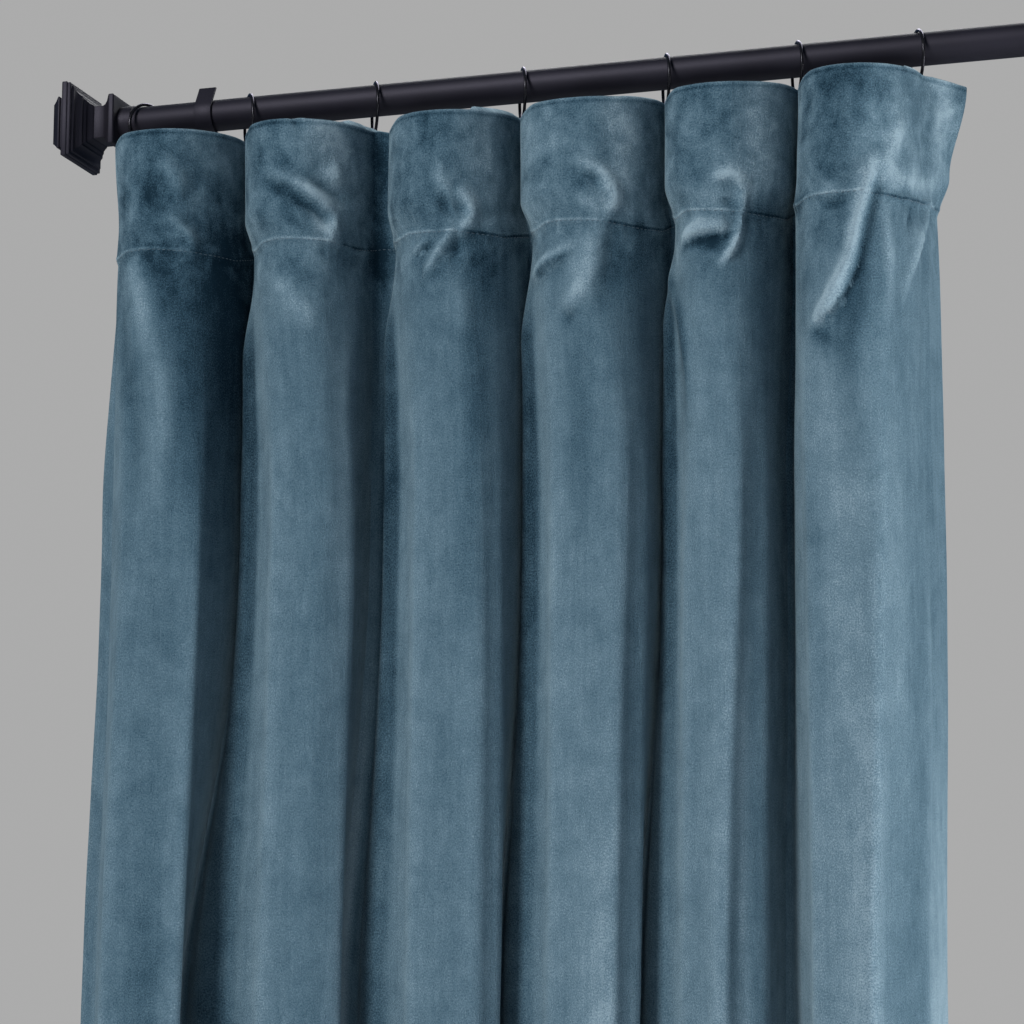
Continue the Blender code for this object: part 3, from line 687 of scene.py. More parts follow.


# creases, each with its left width, its right width, how much of its rise is painted into the colour as
# light on the ridge and shade in the hollow, and its points; a point is the share of a fold run, the depth
# below the edge and the rise out of the cloth
creases = (
    # first fold
    (5, 8, 1, (0.5, 12, 0), (0.57, 30, 2.6), (0.61, 42, 3), (0.63, 56, 0)),
    (9, 7, 1, (0.42, 36, 0), (0.5, 52, -2.6), (0.59, 62, 0)),
    (6, 7, 1, (0.55, 66, 0), (0.61, 77, 2.6), (0.65, 87, 2.8), (0.63, 99, 0.6)),
    (2, 2, 1, (0.74, 24, 0), (0.79, 30, 0.8), (0.84, 37, 0)),
    (10, 7, 1, (0.34, 98, 0.3), (0.41, 120, 1.3), (0.44, 140, 1.7), (0.48, 167, 1.9), (0.51, 190, 2),
     (0.52, 215, 1.8), (0.5, 246, 1.6), (0.48, 290, 1), (0.46, 340, 0)),
    (10, 14, 1, (0.5, 104, -0.6), (0.58, 150, -1.2), (0.62, 220, -1.2), (0.6, 300, 0)),
    (9, 9, 1, (0.28, 110, 0), (0.33, 170, -1.2), (0.38, 240, -1.2), (0.36, 320, 0)),
    # second fold
    (5, 4.5, 1.3, (1.45, 38, 0), (1.53, 43, 2.2), (1.6, 50, 2.6), (1.67, 58, 2.6), (1.725, 67, 2.2),
     (1.75, 73, 0)),
    (5, 5, 1, (1.73, 67, 0), (1.755, 74, 1.4), (1.745, 81, 2.4), (1.73, 87, 2.6), (1.7, 94, 1)),
    (4.5, 5, 1.4, (1.45, 46, 0), (1.53, 53, -1.8), (1.6, 61, -2.2), (1.67, 69, -2.4), (1.72, 76, -2),
     (1.745, 81, 0)),
    (4, 4, 1, (1.65, 45, 0), (1.71, 51, -2.4), (1.77, 58, -2.4), (1.82, 66, 0)),
    (7, 6, 1, (1.73, 32, 0), (1.76, 42, 2.8), (1.79, 52, 0)),
    (3, 4, 1, (1.57, -4, -1), (1.6, 4, -1.6), (1.64, 14, 0)),
    (16, 12, 1, (1.38, 112, 0), (1.48, 132, 2.6), (1.56, 150, 2.4), (1.6, 172, 0)),
    (3, 4, -0.6, (1.955, -6, 5), (1.955, 40, 4.5), (1.95, 96, 2.5), (1.95, 120, 0)),
    # third fold
    (5, 5, 1, (2.53, 36, 0), (2.55, 52, 2.4), (2.57, 64, 2.6), (2.6, 74, 0)),
    (4, 6, 1, (2.6, 62, 0), (2.65, 69, 2.8), (2.67, 77, 3), (2.65, 86, 2.6), (2.6, 93, 2.2), (2.59, 102, 0)),
    (4, 4, 1, (2.54, 62, 0), (2.56, 74, -2.8), (2.59, 84, 0)),
    (4, 3, 1, (2.61, 70, 0), (2.63, 77, -2.2), (2.61, 84, 0)),
    (4, 3, 1, (2.58, 84, 0), (2.55, 97, 3.2), (2.51, 108, 3.8), (2.46, 122, 3.2), (2.42, 132, 0)),
    (3, 2.5, 1, (2.46, 97, 0), (2.41, 104, 2.4), (2.35, 112, 0)),
    (2.5, 2.5, 1, (2.49, 99, 0), (2.43, 107, -2.4), (2.37, 116, 0)),
    (4, 6, 1, (2.6, 98, 0), (2.57, 108, -2.4), (2.55, 124, 0)),
    (8, 8, 1, (2.56, 134, 0), (2.59, 152, 1.8), (2.6, 178, 0)),
    # fourth fold
    (4, 5, 1, (3.48, 48, 0), (3.54, 51, 2), (3.595, 57, 3.2), (3.635, 64, 3.4), (3.665, 73, 3.2),
     (3.67, 79, 2.2), (3.655, 86, 1.2), (3.62, 94, 0.4)),
    (5, 3, 1, (3.55, 57, 0), (3.6, 64, -2.4), (3.62, 73, 0)),
    (6, 8, 1, (3.22, 124.5, 0.6), (3.28, 123, 2.6), (3.36, 120.5, 3), (3.44, 116, 2.4), (3.49, 111, 0)),
    (5, 5, 1, (3.2, 133, -0.6), (3.3, 132, -1.4), (3.4, 129, -1.4), (3.5, 122, 0)),
    (9, 8, 1, (3.6, 99, 0.5), (3.575, 107, 1), (3.555, 118, 2.2), (3.545, 131, 3), (3.51, 146, 3.6),
     (3.455, 158, 2.6), (3.41, 166, 0)),
    (9, 16, 1, (3.66, 99, -0.8), (3.65, 112, -1.6), (3.64, 128, -1.8), (3.61, 150, -1.4), (3.58, 180, 0)),
    (5, 6, 1, (3.38, 164, 0), (3.44, 168, -2.2), (3.5, 164, 0)),
    # fifth fold
    (4, 4, 1, (4.51, 77, 0), (4.545, 72, 2.2), (4.58, 71, 2.8), (4.62, 75, 2.4), (4.66, 82, 0)),
    (3, 3.6, 1, (4.62, 82, 0.8), (4.632, 90, 3), (4.628, 98, 3.2), (4.62, 106, 3), (4.615, 114, 3.2),
     (4.597, 123, 3.8), (4.572, 131, 3.4), (4.53, 138, 0)),
    (3.2, 3, 1, (4.53, 78, 0), (4.565, 80, -1.3), (4.6, 84, -1.6), (4.62, 89, 0)),
    (3, 3, 1, (4.53, 90, 0), (4.57, 92, -2), (4.61, 94, 0)),
    (9, 4, 1, (4.28, 117, 0), (4.36, 113, 3.2), (4.45, 111, 4.2), (4.53, 111, 3.6), (4.59, 112, 0)),
    (5, 5, 1, (4.3, 122, 0), (4.38, 122, -1.2), (4.46, 122, -1.8), (4.55, 120, -1.4), (4.6, 117, 0)),
    (5, 9, 0.2, (4.06, 108, 0), (4.17, 142, 1.4), (4.25, 165, 1.6), (4.29, 190, 1.6), (4.32, 215, 1.2),
     (4.33, 250, 0)),
    # sixth fold
    (7, 4.5, 1, (5.65, 62, 0), (5.64, 73, 2.6), (5.61, 86, 3.8), (5.59, 101, 4.8), (5.56, 120, 5.4),
     (5.54, 141, 5.6), (5.48, 163, 5.2), (5.415, 180, 4.2), (5.33, 196, 0.4)),
    (5, 9, 1, (5.62, 94, -1.2), (5.6, 112, -2.2), (5.575, 132, -2.8), (5.55, 150, -3), (5.5, 172, -2.8),
     (5.42, 190, -2.2), (5.33, 200, 0)),
    (5, 7, 1, (5.76, 34, 0), (5.74, 50, 2.2), (5.7, 66, 2.2), (5.68, 78, 1.8), (5.66, 92, 0)),
    (4, 6, 1, (5.66, 100, 0.5), (5.67, 120, 2.2), (5.68, 140, 2.6), (5.68, 169, 1.8), (5.67, 200, 0)),
    (5, 5, 1, (6.2, 95, 1), (6.02, 112, 2.4), (5.88, 134, 2.8), (5.79, 158, 2), (5.74, 186, 0)),
    (5, 5, 1, (5.86, 98, -1), (5.84, 112, -2.6), (5.8, 130, 0)),
    (4, 4, 1, (5.38, 101, 0), (5.46, 104, -2), (5.55, 103, 0)),
)
# the last two divide a crease's and a ridge's rise into painted light where raised and painted shade where
# hollow
creaseSize = {"rise": 1.7, "paintedShading": 4, "ridgePaintedShading": 7}
# lines of painted light (or, below zero, painted shade) with no crease under it: widths and points
shades = (
    (42, 42, (0.8, 100, -1.9), (0.8, 170, -1.7), (0.8, 240, -1.1), (0.82, 400, 0)),
    (8, 8, (0.4, 103, 0.8), (0.43, 116, 1.2), (0.45, 140, 0.8), (0.46, 170, 0.2)),
    (10, 10, (0.56, 140, 0.4), (0.56, 170, 0.5), (0.55, 230, 0)),
    (9, 9, (0.36, 12, 0.4), (0.41, 36, 0.7), (0.42, 60, 0.4)),
    (13, 12, (0.54, 46, -0.4), (0.62, 39, -0.8), (0.74, 38, -0.7), (0.86, 50, -0.4)),
    (9, 9, (1.44, 33, -0.5), (1.54, 36, -0.7)),
    (9, 9, (1.84, 122, 0.2), (1.8, 165, 0.7), (1.755, 205, 0.7), (1.74, 270, 0.2)),
    (6, 6, (2.6, 93, 0.3), (2.66, 90, 1), (2.74, 87, 0.7), (2.86, 85, 0.3)),
    (13, 13, (2.68, 120, -0.3), (2.66, 180, -0.6), (2.63, 240, -0.7), (2.6, 290, -0.6), (2.6, 420, 0)),
    (8, 8, (3.38, 82, 0.4), (3.5, 79, 0.8), (3.63, 83, 0.8), (3.73, 90, 0.9), (3.8, 92, 0.3)),
    (9, 7, (4.44, 89, 0.4), (4.57, 88, 1), (4.72, 86, 0.4)),
    (8, 6, (5.43, 93, 0.4), (5.49, 91, 1.1), (5.56, 91, 0.3)),
    (9, 9, (5.43, 13, -0.7), (5.52, 11, -1), (5.68, 21, -0.8)),
    (6, 8, (5.2, 92, -1.2), (5.28, 92, -1.1)),
    (13, 13, (5.27, 128, -0.2), (5.29, 152, -0.6), (5.28, 178, -0.3)),
    (8, 5, (5.33, 193, -0.6), (5.41, 201, -1.3), (5.46, 206, -0.3)),
    (14, 10, (0.2, 108, -0.7), (0.2, 150, -0.9), (0.18, 200, 0)),
    (12, 10, (1.72, 4, 0.9), (1.79, 16, 1.3), (1.84, 38, 0.7)),
    (7, 6, (1.69, 82, 0.8), (1.725, 88, 1.6), (1.735, 95, 1.2)),
    (14, 9, (1.995, -8, -1.6), (1.995, 50, -1.6), (1.995, 110, -1.2)),
    (14, 10, (1.72, 200, 0), (1.74, 260, 0.4), (1.74, 340, 0.5), (1.73, 430, 0)),
    (12, 18, (2.64, 102, -0.9), (2.68, 118, -0.9), (2.74, 138, -0.7), (2.76, 180, 0)),
    (18, 14, (3.76, 104, -0.7), (3.76, 135, -0.7), (3.76, 230, 0)),
    (13, 13, (3.48, 160, -0.3), (3.46, 215, -0.9), (3.45, 260, -0.8), (3.45, 350, 0)),
    (2.6, 3, (3.2, 128, -0.8), (3.28, 127, -1.2), (3.36, 124.5, -1.5), (3.44, 120.5, -1.3), (3.5, 116, 0)),
    (7, 7, (4.68, 4, 0.5), (4.68, 28, 1), (4.67, 52, 0.4)),
    (2.6, 3.2, (4.31, 120, -0.8), (4.36, 119, -1.7), (4.42, 118, -2.2), (4.48, 117.5, -2.2),
     (4.54, 117, -1.8), (4.59, 116, -0.4)),
    (4, 5, (4.42, 124, 0), (4.5, 125, -0.9), (4.56, 125, -0.4)),
    (8, 4.5, (4.34, 115.5, 0.7), (4.44, 112.5, 1.5), (4.54, 113, 1.1)),
    (7, 7, (4.48, 78, 0.4), (4.55, 74, 0.9), (4.6, 77, 0.5)),
    (3.5, 3.5, (4.6, 118, 0.5), (4.575, 129, 1.5), (4.53, 137, 1)),
    (13, 5, (4.2, 142, -0.4), (4.25, 156, -1), (4.29, 178, -1.2), (4.31, 200, -1.2), (4.31, 228, -0.8),
     (4.28, 270, 0)),
    (16, 16, (4.72, 104, -0.7), (4.73, 150, -0.7), (4.73, 270, 0)),
    (9, 8, (5.68, 88, 0.8), (5.78, 87, 1.3), (5.9, 86, 1.3), (6.2, 84, 0.9)),
    (12, 12, (5.59, 160, -0.4), (5.54, 188, -1.1), (5.49, 208, -1.2), (5.51, 250, -0.6), (5.53, 320, 0)),
    (5, 5, (5.51, 160, 0.2), (5.45, 179, 0.9), (5.39, 189, 0.7)),
    (12, 13, (5.3, 240, 0), (5.31, 330, -0.6), (5.32, 420, -0.4), (5.33, 520, 0)),
    (14, 14, (5.72, 200, 0), (5.72, 330, 0.5), (5.72, 480, 0.5), (5.72, 620, 0)),
    (7, 6, (4.64, 370, 0), (4.63, 460, 0.9), (4.62, 620, 1), (4.62, 2130, 1)),
    (18, 18, (3.52, 520, 0), (3.52, 700, 0.7), (3.52, 2130, 0.7)),
    (20, 16, (0.5, 520, 0), (0.5, 700, -0.5), (0.5, 2130, -0.5)),
    (14, 14, (6.36, -5, 1.2), (6.46, 30, 1.3), (6.5, 75, 0.6)),
)
# long soft ridges and hollows down the corners of each fold's front, also painted lighter on the ridges and
# darker in the hollows: widths and points
ridges = (
    (9, 13, (0.36, 330, 0), (0.33, 445, 2.2), (0.32, 560, 2.6), (0.31, 700, 2.6), (0.31, 2200, 2.6)),
    (13, 5, (0.65, 260, 0), (0.64, 372, 1.8), (0.63, 440, 2.6), (0.61, 518, 3.4), (0.61, 700, 3.6),
     (0.61, 2200, 3.4)),
    (7, 12, (1.34, 200, 0), (1.36, 320, 2.4), (1.36, 448, 2.8), (1.34, 560, 2.8), (1.33, 700, 2.8),
     (1.33, 2200, 2.6)),
    (13, 5, (1.8, 200, 0), (1.78, 300, 2.4), (1.76, 400, 3.2), (1.74, 520, 3.6), (1.73, 700, 3.8),
     (1.73, 2200, 3.4)),
    (7, 12, (2.34, 200, 0), (2.35, 320, 2.4), (2.34, 500, 2.6), (2.33, 700, 2.6), (2.33, 2200, 2.4)),
    (13, 8, (2.66, 240, 0), (2.65, 350, 1.4), (2.64, 500, 2), (2.62, 700, 2.6), (2.62, 2200, 2.4)),
    (7, 5, (2.76, 240, 0), (2.75, 350, 1.6), (2.74, 500, 2), (2.74, 700, 2.2), (2.74, 2200, 2)),
    (7, 11, (3.3, 190, 0), (3.31, 304, 2.4), (3.32, 452, 2.6), (3.29, 620, 2.6), (3.28, 700, 2.6),
     (3.28, 2200, 2.4)),
    (13, 6, (3.68, 220, 0), (3.66, 320, 1.8), (3.63, 430, 2.6), (3.6, 580, 3), (3.59, 700, 3),
     (3.59, 2200, 2.8)),
    (7, 5, (3.79, 230, 0), (3.77, 380, 1.8), (3.75, 500, 2), (3.73, 700, 2), (3.73, 2200, 2)),
    (8, 10, (4.3, 260, 0), (4.29, 340, 2.2), (4.29, 457, 2.4), (4.26, 600, 2.4), (4.25, 700, 2.4),
     (4.25, 2200, 2.2)),
    (12, 6, (4.62, 230, 0), (4.6, 320, 2.4), (4.56, 440, 3), (4.52, 540, 3.2), (4.49, 700, 3.2),
     (4.49, 2200, 3)),
    (8, 5, (4.78, 220, 0), (4.77, 320, 2), (4.76, 420, 2.2), (4.75, 600, 2.4), (4.74, 2200, 2.2)),
    (12, 10, (4.68, 300, 0), (4.66, 420, -1.6), (4.63, 560, -2.6), (4.61, 700, -3.2), (4.61, 2200, -3)),
    (16, 12, (1.17, 420, 0), (1.18, 560, -1.5), (1.19, 700, -3), (1.19, 2200, -3)),
    (6, 10, (5.26, 160, 0), (5.3, 300, 1.8), (5.3, 463, 2.2), (5.28, 700, 2.2), (5.28, 2200, 2)),
    (14, 9, (5.66, 210, 0), (5.64, 300, 1.6), (5.61, 420, 2), (5.58, 540, 2.8), (5.54, 700, 3),
     (5.53, 2200, 2.8)),
    (7, 6, (5.9, 300, 0), (5.95, 420, 1.6), (5.93, 560, 2), (5.88, 700, 2.2), (5.88, 2200, 2)),
)
# light and shade painted into the colour (below zero, painted shade); heading, right and body go by fold
foldShadingLook = {
    # the middle of each fold's front: painted shade in the heading, mostly painted light in the body
    "heading": (-0.75, -0.4, -0.4, -0.05, -0.25, -0.45), "body": (-0.05, 0.15, 0.2, 0.4, 0.4, 0.8),
    "bodyStart": (80, 240), "middle": 0.46, "spread": 0.19,
    # painted light on the right of each fold's front above the seam
    "right": (0.2, 0.8, 0.6, 0.9, 0.8, 0.55), "rightAt": 0.71, "rightSpread": 0.095,
    "rightEnd": (60, 98),
    # painted shade in the valleys near the top and painted light in them lower down
    "valleyDepths": (110, 450, 700), "valleys": (-0.9, 0.5, 2.4), "lastValley": (-1.2, -0.5, 0.4),
    "valleySpread": (0.13, 0.2), "valleyStart": (60, 115),
    # painted shade on the strips right of the valleys: darkest beside the valley's foot, and fading down the
    # cloth
    "strips": (0.25, 0.45, 0.1), "stripEnd": (250, 620), "stripStart": (115, 185),
    "stripWidths": (0.23, 0.22), "stripDark": 1.5, "stripSlope": 1.2,
    "stripFoot": 1.3, "footSpread": 0.045, "footStart": (250, 450),
    # painted light on the last fold's right side, lower down
    "side": 1.5, "sideAt": (5.86, 5.98), "sideStart": (350, 800),
    # a painted highlight along the top edge and a painted shade line just below it
    "edge": 0.9, "edgeWidth": 1.5, "edgeLine": -0.8, "edgeLineAt": 4, "edgeLineWidth": 1.3,
    "limit": 1.6,
}
unevenness = {"rise": 1.5, "across": 0.017, "down": 0.0048,
              "fine": 0.5, "fineAcross": 0.06, "fineDown": 0.012, "hemDip": 1,
              "hemWidth": 9, "held": 0.05, "heldDepth": 60}


def rowDepths():
    depths = []
    for low, high, step in drapeLook["rowSteps"]:
        count = max(1, round((high - low) / step))
        depths += list(np.linspace(low, high, count, endpoint=False))
    return np.array(depths + [drapeLook["drop"]])


def curvedLine(line, share, across):
    # the line in mm on the flat cloth, with its rise, rounded and cut into short steps
    points = np.array(line, float)
    points[:, 0] = np.interp(points[:, 0], share, across)
    run = runAlong(points)
    even = np.linspace(0, run[-1], max(12, int(run[-1] / 3)))
    reach = max(1, len(even) // 16)
    padded = np.pad(resampled(even, run, points), ((reach, reach), (0, 0)), "edge")
    return blurred(padded, np.hanning(2 * reach + 3)[1:-1])


def creaseRelief(points, widths, across, depth):
    line, rise = points[:, :2], points[:, 2]
    wide = max(widths) * 3
    low, high = line.min(0) - wide, line.max(0) + wide
    near = (across > low[0]) & (across < high[0]) & (depth > low[1]) & (depth < high[1])
    relief = np.zeros(across.shape)
    if not near.any():
        return relief
    spots = np.stack([across[near], depth[near]], 1)
    closest = np.empty(len(spots), int)
    batch = 4000                          # spots measured at once
    for start in range(0, len(spots), batch):
        part = spots[start:start + batch]
        away = ((part[:, None, :] - line[None, :, :]) ** 2).sum(2)
        closest[start:start + batch] = away.argmin(1)
    way = np.gradient(line, axis=0)
    way /= np.maximum(np.hypot(way[:, 0], way[:, 1]), 1e-6)[:, None]
    offset = spots - line[closest]
    side = offset[:, 0] * way[closest, 1] - offset[:, 1] * way[closest, 0]
    right = side * np.sign(way[:, 1].sum() or 1) > 0
    width = np.where(right, widths[1], widths[0])
    relief[near] = rise[closest] * bell(np.hypot(offset[:, 0], offset[:, 1]), width)
    return relief


def gridNormals(points):
    normals = np.cross(np.gradient(points, axis=0), np.gradient(points, axis=1))
    return normals / np.linalg.norm(normals, axis=2, keepdims=True)


def clothGrid(look):
    nominal = rowDepths()
    _, levelShare, levelRun = clothPlan(100)
    count = round(levelRun[-1] / look["columnStep"])
    part = levelShare - np.floor(levelShare)
    close = look["sparse"] + sum(amount * band(part, rise, fall) for amount, rise, fall in look["crowding"])
    crowd = np.concatenate(([0], np.cumsum((close[1:] + close[:-1]) / 2 * np.diff(levelRun))))
    across = np.interp(np.linspace(0, crowd[-1], count + 1), crowd, levelRun)
    share = np.interp(across, levelRun, levelShare)
    ease = smoothStep(-np.abs(nominal - look["seam"]) / seamLook["reach"], -1, 0)
    depth = nominal[:, None] + ease[:, None] * seamShift(share)[None, :]
    points = np.zeros((len(nominal), len(share), 3))
    drop, lift = edgeDrop(share), edgeRaise(share)
    for index, level in enumerate(nominal):
        plan, planShare, _ = clothPlan(level)
        points[index, :, :2] = resampled(share, planShare, plan)
        raised = lift * (1 - smoothStep(level, 0, look["raisedOver"]))
        points[index, :, 2] = rodSize["rise"] - drop - depth[index] + raised
    return nominal, share, across, depth, points


# light and shade painted on the cloth by fold, valley and strip
def paintedFoldShading(share, depth, look):
    fold, _ = foldPart(share)
    heading, body, right = (np.array(look[name])[fold] for name in ("heading", "body", "right"))
    below = smoothStep(depth, *look["bodyStart"])
    paintedShading = bell(share - fold - look["middle"], look["spread"]) * (heading * (1 - below) + body * below)
    beside = bell(share - fold - look["rightAt"], look["rightSpread"])
    paintedShading += right * beside * (1 - smoothStep(depth, *look["rightEnd"]))
    # painted shade and light in the valleys, and painted shade on the strips on their right, between the
    # first and the last hook
    part = share - np.round(share)
    inner = (share > 0.5) * (share < 5.5)
    last = share > 4.5
    depths = look["valleyDepths"]
    valleys = bell(part, np.interp(depth, depths[1:], look["valleySpread"])) * inner * ((part < 0) | last)
    valleyPaintedShading = np.where(last, np.interp(depth, depths, look["lastValley"]),
                          np.interp(depth, depths, look["valleys"]))
    paintedShading += valleys * valleyPaintedShading * smoothStep(depth, *look["valleyStart"])
    faded = np.array(look["strips"])[(share > 2).astype(int) + (share > 3.5)]
    edge = np.where(share < 2, *look["stripWidths"])
    strip = inner * ~last * (part >= 0) * (1 - smoothStep(part - edge, -0.035, 0))
    foot = look["stripFoot"] * bell(part, look["footSpread"]) * smoothStep(depth, *look["footStart"])
    shade = look["stripSlope"] * part - look["stripDark"] + foot
    fade = 1 - (1 - faded) * smoothStep(depth, *look["stripEnd"])
    paintedShading += strip * smoothStep(depth, *look["stripStart"]) * shade * fade
    return paintedShading + look["side"] * smoothStep(share, *look["sideAt"]) * smoothStep(depth, *look["sideStart"])


# the seam's painted highlight and painted shade lines
def paintedSeamLine(share, across, down, look):
    fold, _ = foldPart(share)
    part = share - np.floor(share)
    ends = np.array(look["lightEnds"])[fold]
    line = (1 - look["dark"] * smoothStep(part - ends, -0.05, 0.05)
            - look["start"] * (1 - smoothStep(part, 0.16, 0.24)))
    first, second = look["lineWaves"]
    beside = look["uneven"] * np.sin(across * first) * np.sin(across * second)
    return bell(down + look["lineUp"], look["lineWidth"]) * (line + beside)[None, :]


def clothRelief(nominal, share, across, depth):
    acrossAll = np.broadcast_to(across, depth.shape)
    down = np.broadcast_to((nominal - drapeLook["seam"])[:, None], depth.shape)

    def laid(line, left, right):
        return creaseRelief(curvedLine(line, share, across), (left, right), acrossAll, depth)

    relief = np.zeros(depth.shape)
    paintedShading = np.zeros(depth.shape)
    # part of each crease's rise is painted into the colour as light and shade
    for left, right, nap, *line in creases:
        crease = creaseSize["rise"] * laid(line, left, right)
        relief += crease
        paintedShading += crease * nap / creaseSize["paintedShading"]
    # painted light and painted shade lines
    for left, right, *line in shades:
        paintedShading += laid(line, left, right)
    # ridges, also painted lighter and darker by their rise
    for left, right, *line in ridges:
        ridge = laid(line, left, right)
        relief += ridge
        paintedShading += ridge / creaseSize["ridgePaintedShading"]
    look = foldShadingLook
    paintedShading += paintedFoldShading(share, depth, look) + paintedSeamLine(share, across, down, seamLook)
    # painted highlight along the top edge and painted shade line below it
    paintedShading += look["edge"] * bell(depth, look["edgeWidth"])
    paintedShading += look["edgeLine"] * bell(depth - look["edgeLineAt"], look["edgeLineWidth"])
    paintedShading = np.clip(paintedShading, -look["limit"], look["limit"])
    look = unevenness
    for (i, j), level in np.ndenumerate(depth):
        broad = noise.noise(Vector((across[j] * look["across"], level * look["down"], 3.7)))
        fine = noise.noise(Vector((across[j] * look["fineAcross"], level * look["fineDown"], 9.1)))
        relief[i, j] += look["rise"] * broad + look["fine"] * fine
    hemLine = depth - (drapeLook["drop"] - drapeLook["hem"])
    relief -= look["hemDip"] * bell(hemLine, look["hemWidth"])
    # flat where a hook's pin lies behind it
    part = share - np.round(share)
    held = np.where((share > -0.5) & (share < 6.5), 1 - bell(part, look["held"]), 1)
    relief *= np.where(depth < look["heldDepth"], held[None, :], 1)
    return relief + seamRelief(down, acrossAll, seamLook), paintedShading


def layerThickness(nominal):
    low, high = drapeLook["pocketEnd"]
    part = np.clip((nominal - drapeLook["seam"] - low) / (high - low), 0, 1)
    return drapeLook["pocket"] + (drapeLook["cloth"] - drapeLook["pocket"]) * part


def skinFaces(rows, columns, fronts, kept):
    # rows of the closed skin run up the front, over the top edge and down the back
    faces = []
    for i in range(rows):
        up = (i + 1) % rows
        for j in range(columns - 1):
            faces.append((i * columns + j, i * columns + j + 1, up * columns + j + 1, up * columns + j))
    for side in (0, columns - 1):
        caps = [[(fronts - 1 + k) * columns + side for k in range(5)]]
        for k in range(len(kept) - 1):
            ring = [(fronts - 1 - f) * columns + side for f in range(kept[k + 1], kept[k] - 1, -1)]
            ring += [(fronts + 3 + k) * columns + side, (fronts + 4 + k) * columns + side]
            caps.append(ring)
        faces += [tuple(ring) if side == 0 else tuple(reversed(ring)) for ring in caps]
    return faces


def makeDrape(look):
    nominal, share, across, depth, base = clothGrid(look)
    relief, paintedShading = clothRelief(nominal, share, across, depth)
    front = base + gridNormals(base) * relief[:, :, None]
    normals = gridNormals(front)
    back = front - normals * layerThickness(nominal)[:, None, None]
    peek = np.zeros(len(share))
    for start, end, rise in look["backPeeks"]:
        peek += rise * band(share, (start, start + 0.02), (end - 0.008, end))
    kept = sorted(set(range(0, len(nominal), look["backStep"])) | {len(nominal) - 1})
    top = []
    middle = (front[0] + back[0]) / 2
    for angle, lift in look["edgeTurn"]:
        turn = math.radians(angle)
        spot = middle + (front[0] - middle) * math.cos(turn)
        spot[:, 2] += nominal[0] * math.sin(turn) + peek * lift
        top.append(spot)
    backRows = back[kept].copy()
    backRows[0][:, 2] += peek
    skin = np.concatenate([front[::-1], np.array(top), backRows])
    drape = linkMesh("velvetDrape", [tuple(point) for point in (skin.reshape(-1, 3) * mm)],
                     skinFaces(*skin.shape[:2], len(nominal), kept))
    mesh = drape.data
    mesh.validate()
    # the flat cloth as the UV map, in metres, and the light and shade painted on it
    flat = np.concatenate([depth[::-1], np.zeros((len(top), len(share))), depth[kept]])
    flatPoints = np.stack([np.broadcast_to(across, flat.shape), -flat], 2).reshape(-1, 2) * mm
    # the back layer where it stands above the front is painted lighter, a painted highlight
    paintedPeekLight = np.broadcast_to(np.minimum(peek / 3, 1), (len(top) + 1, len(share)))
    flatPaintedShading = np.concatenate([paintedShading[::-1], paintedPeekLight, np.zeros((len(kept) - 1, len(share)))])
    mesh.attributes.new("paintedShading", "FLOAT", "POINT").data.foreach_set("value", flatPaintedShading.ravel())
    corners = np.zeros(len(mesh.loops), int)
    mesh.loops.foreach_get("vertex_index", corners)
    mesh.uv_layers.new(name="cloth").data.foreach_set("uv", flatPoints[corners].ravel())
    return drape, {"across": across, "nominal": nominal, "front": front, "normals": normals}


drape, clothSurface = makeDrape(drapeLook)
finishPiece(drape, "velvetDrape", velvet, ["drape"], 70)
print("drape ready", len(drape.data.polygons), "faces")

# stitches along the heading's seam and the foot hem
stitchLook = {"long": 2.8, "pitch": 4.2, "inset": 3, "thick": 0.5, "proud": 0.24,
              # along the stitch, thickness and height
              "rings": ((0, 0.35, -0.5), (0.25, 1, 0.6), (0.75, 1, 0.6), (1, 0.35, -0.5))}


def clothSpot(across, down):
    # a point on the cloth's front, and the way out of it
    grid = clothSurface
    row = np.interp(down, grid["nominal"], np.arange(len(grid["nominal"])))
    low, part = int(row), row - int(row)

    def mixed(rows):
        return Vector(resampled([across], grid["across"], rows[low] * (1 - part) + rows[low + 1] * part)[0])

    return mixed(grid["front"]), mixed(grid["normals"]).normalized()


def stitchLines(look):
    end = clothSurface["across"][-1] - look["inset"]
    starts = np.arange(look["inset"], end - look["long"], look["pitch"])
    depths = (drapeLook["seam"], drapeLook["drop"] - drapeLook["hem"])
    return [((start, down), (start + look["long"], down)) for down in depths for start in starts]


def makeStitches(look):
    points, faces = [], []
    section = [(math.cos(a), math.sin(a)) for a in (0, math.pi / 2, math.pi, 3 * math.pi / 2)]
    for start, end in stitchLines(look):
        first, out = clothSpot(*start)
        last, _ = clothSpot(*end)
        beside = out.cross((last - first).normalized())
        begin = len(points)
        for share, thick, height in look["rings"]:
            middle = first.lerp(last, share) + out * look["proud"] * height
            for x, y in section:
                points.append(middle + (beside * x + out * y) * look["thick"] / 2 * thick)
        for ring in range(3):
            for k in range(4):
                a, b = begin + ring * 4 + k, begin + ring * 4 + (k + 1) % 4
                faces.append((a, b, b + 4, a + 4))
        faces.append(tuple(begin + k for k in (3, 2, 1, 0)))
        faces.append(tuple(begin + 12 + k for k in range(4)))
    return linkMesh("stitching", [point * mm for point in points], faces)


stitching = finishPiece(makeStitches(stitchLook), "stitching", thread, [], 60)
print("stitches ready", len(stitching.data.polygons), "faces")

# floor and light
floorLook = {"height": -2.17, "size": 14, "colour": (0.62, 0.62, 0.62, 1)}


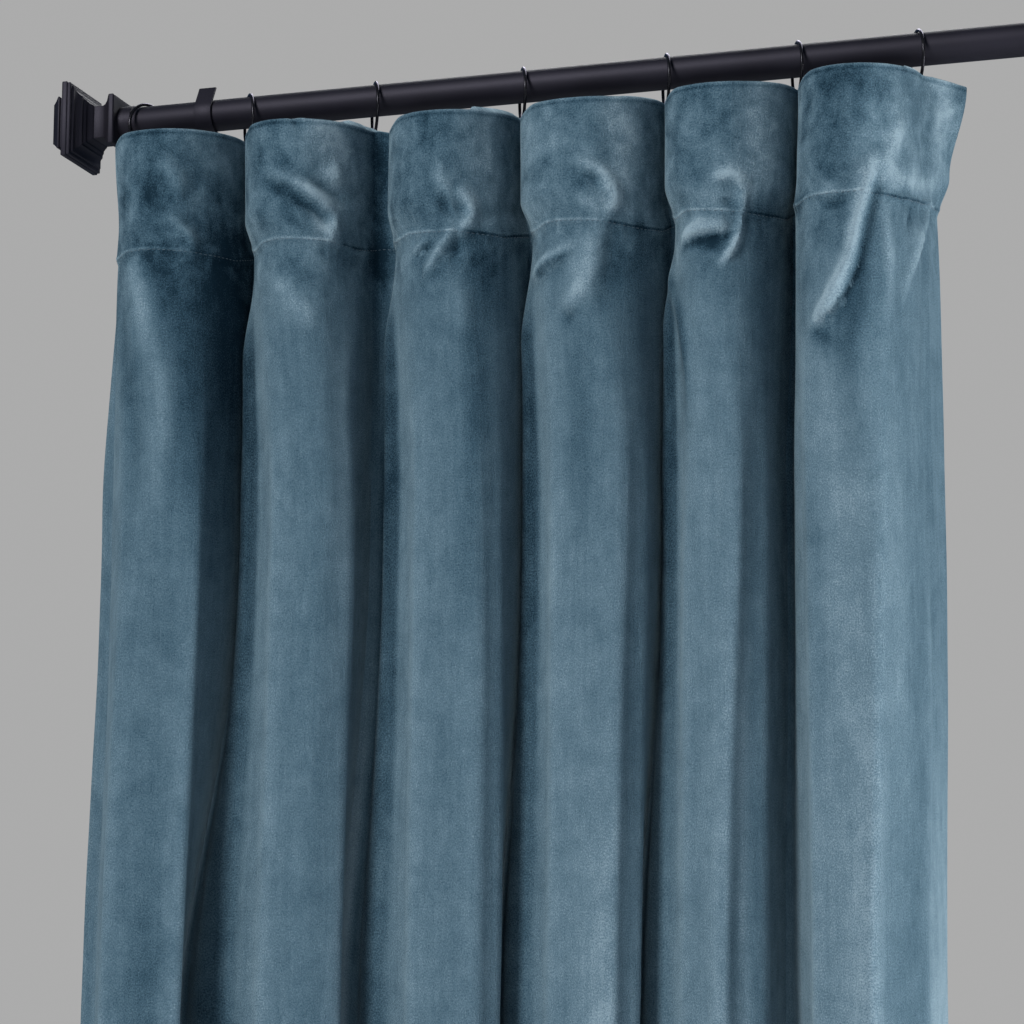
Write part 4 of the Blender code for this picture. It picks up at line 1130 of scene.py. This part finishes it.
def makeFloor(look):
    nothingSelected()
    bpy.ops.mesh.primitive_plane_add(size=look["size"], location=(0.25, 0, look["height"]))
    floor = bpy.context.object
    applyAll(floor)
    floor.name = "floor"
    finish, _, _ = newMaterial("paleFloor", {"Base Color": look["colour"], "Roughness": 0.8})
    floor.data.materials.append(finish)


def makeSky(look):
    sky = bpy.data.worlds.new("studio")
    sky.use_nodes = True
    tree = sky.node_tree
    around = tree.nodes["Background"]
    around.inputs["Color"].default_value = (*look["light"], 1)
    behind = addNode(tree, "Background", {"Color": (*look["seen"], 1)})
    which = addNode(tree, "LightPath").outputs["Is Camera Ray"]
    mixed = addNode(tree, "MixShader", {0: which, 1: around.outputs[0], 2: behind.outputs[0]})
    tree.links.new(mixed.outputs[0], tree.nodes["World Output"].inputs["Surface"])
    bpy.context.scene.world = sky


# lamps, in metres and watts
lampLook = {
    "softKey": {"place": (-2.1, -5.8, 3), "towards": (0.25, -0.15, -0.35), "size": (2.2, 2.2),
                "power": 430, "colour": (1, 1, 1)},
    "frontFill": {"place": (0.9, -2.5, -1.3), "towards": (0.35, -0.15, -1.2), "size": (1.2, 1.2),
                  "power": 12, "colour": (0.9, 0.97, 1)},
    "highBack": {"place": (0.4, 1.6, 1.8), "towards": (0.4, -0.1, 0), "size": (2.4, 1.2),
                 "power": 45, "colour": (1, 1, 1)},
    "windowLight": {"place": (2.4, -0.14, -0.75), "towards": (0.6, -0.12, -0.75), "size": (0.5, 2),
                    "power": 50, "colour": (0.97, 0.99, 1)},
}
skyLook = {"light": (0.025, 0.058, 0.104), "seen": (0.41, 0.41, 0.41)}


def makeLamp(name, row):
    light = bpy.data.lights.new(name, "AREA")
    light.shape = "RECTANGLE"
    light.size, light.size_y = row["size"]
    light.energy = row["power"]
    light.color = row["colour"]
    lamp = bpy.data.objects.new(name, light)
    bpy.context.scene.collection.objects.link(lamp)
    lamp.location = row["place"]
    lamp.visible_camera = False
    lamp.rotation_euler = (Vector(row["towards"]) - Vector(row["place"])).to_track_quat("-Z", "Y").to_euler()


makeFloor(floorLook)
makeSky(skyLook)
for name, row in lampLook.items():
    makeLamp(name, row)
bpy.context.scene.view_settings.view_transform = "Standard"
print("studio ready")
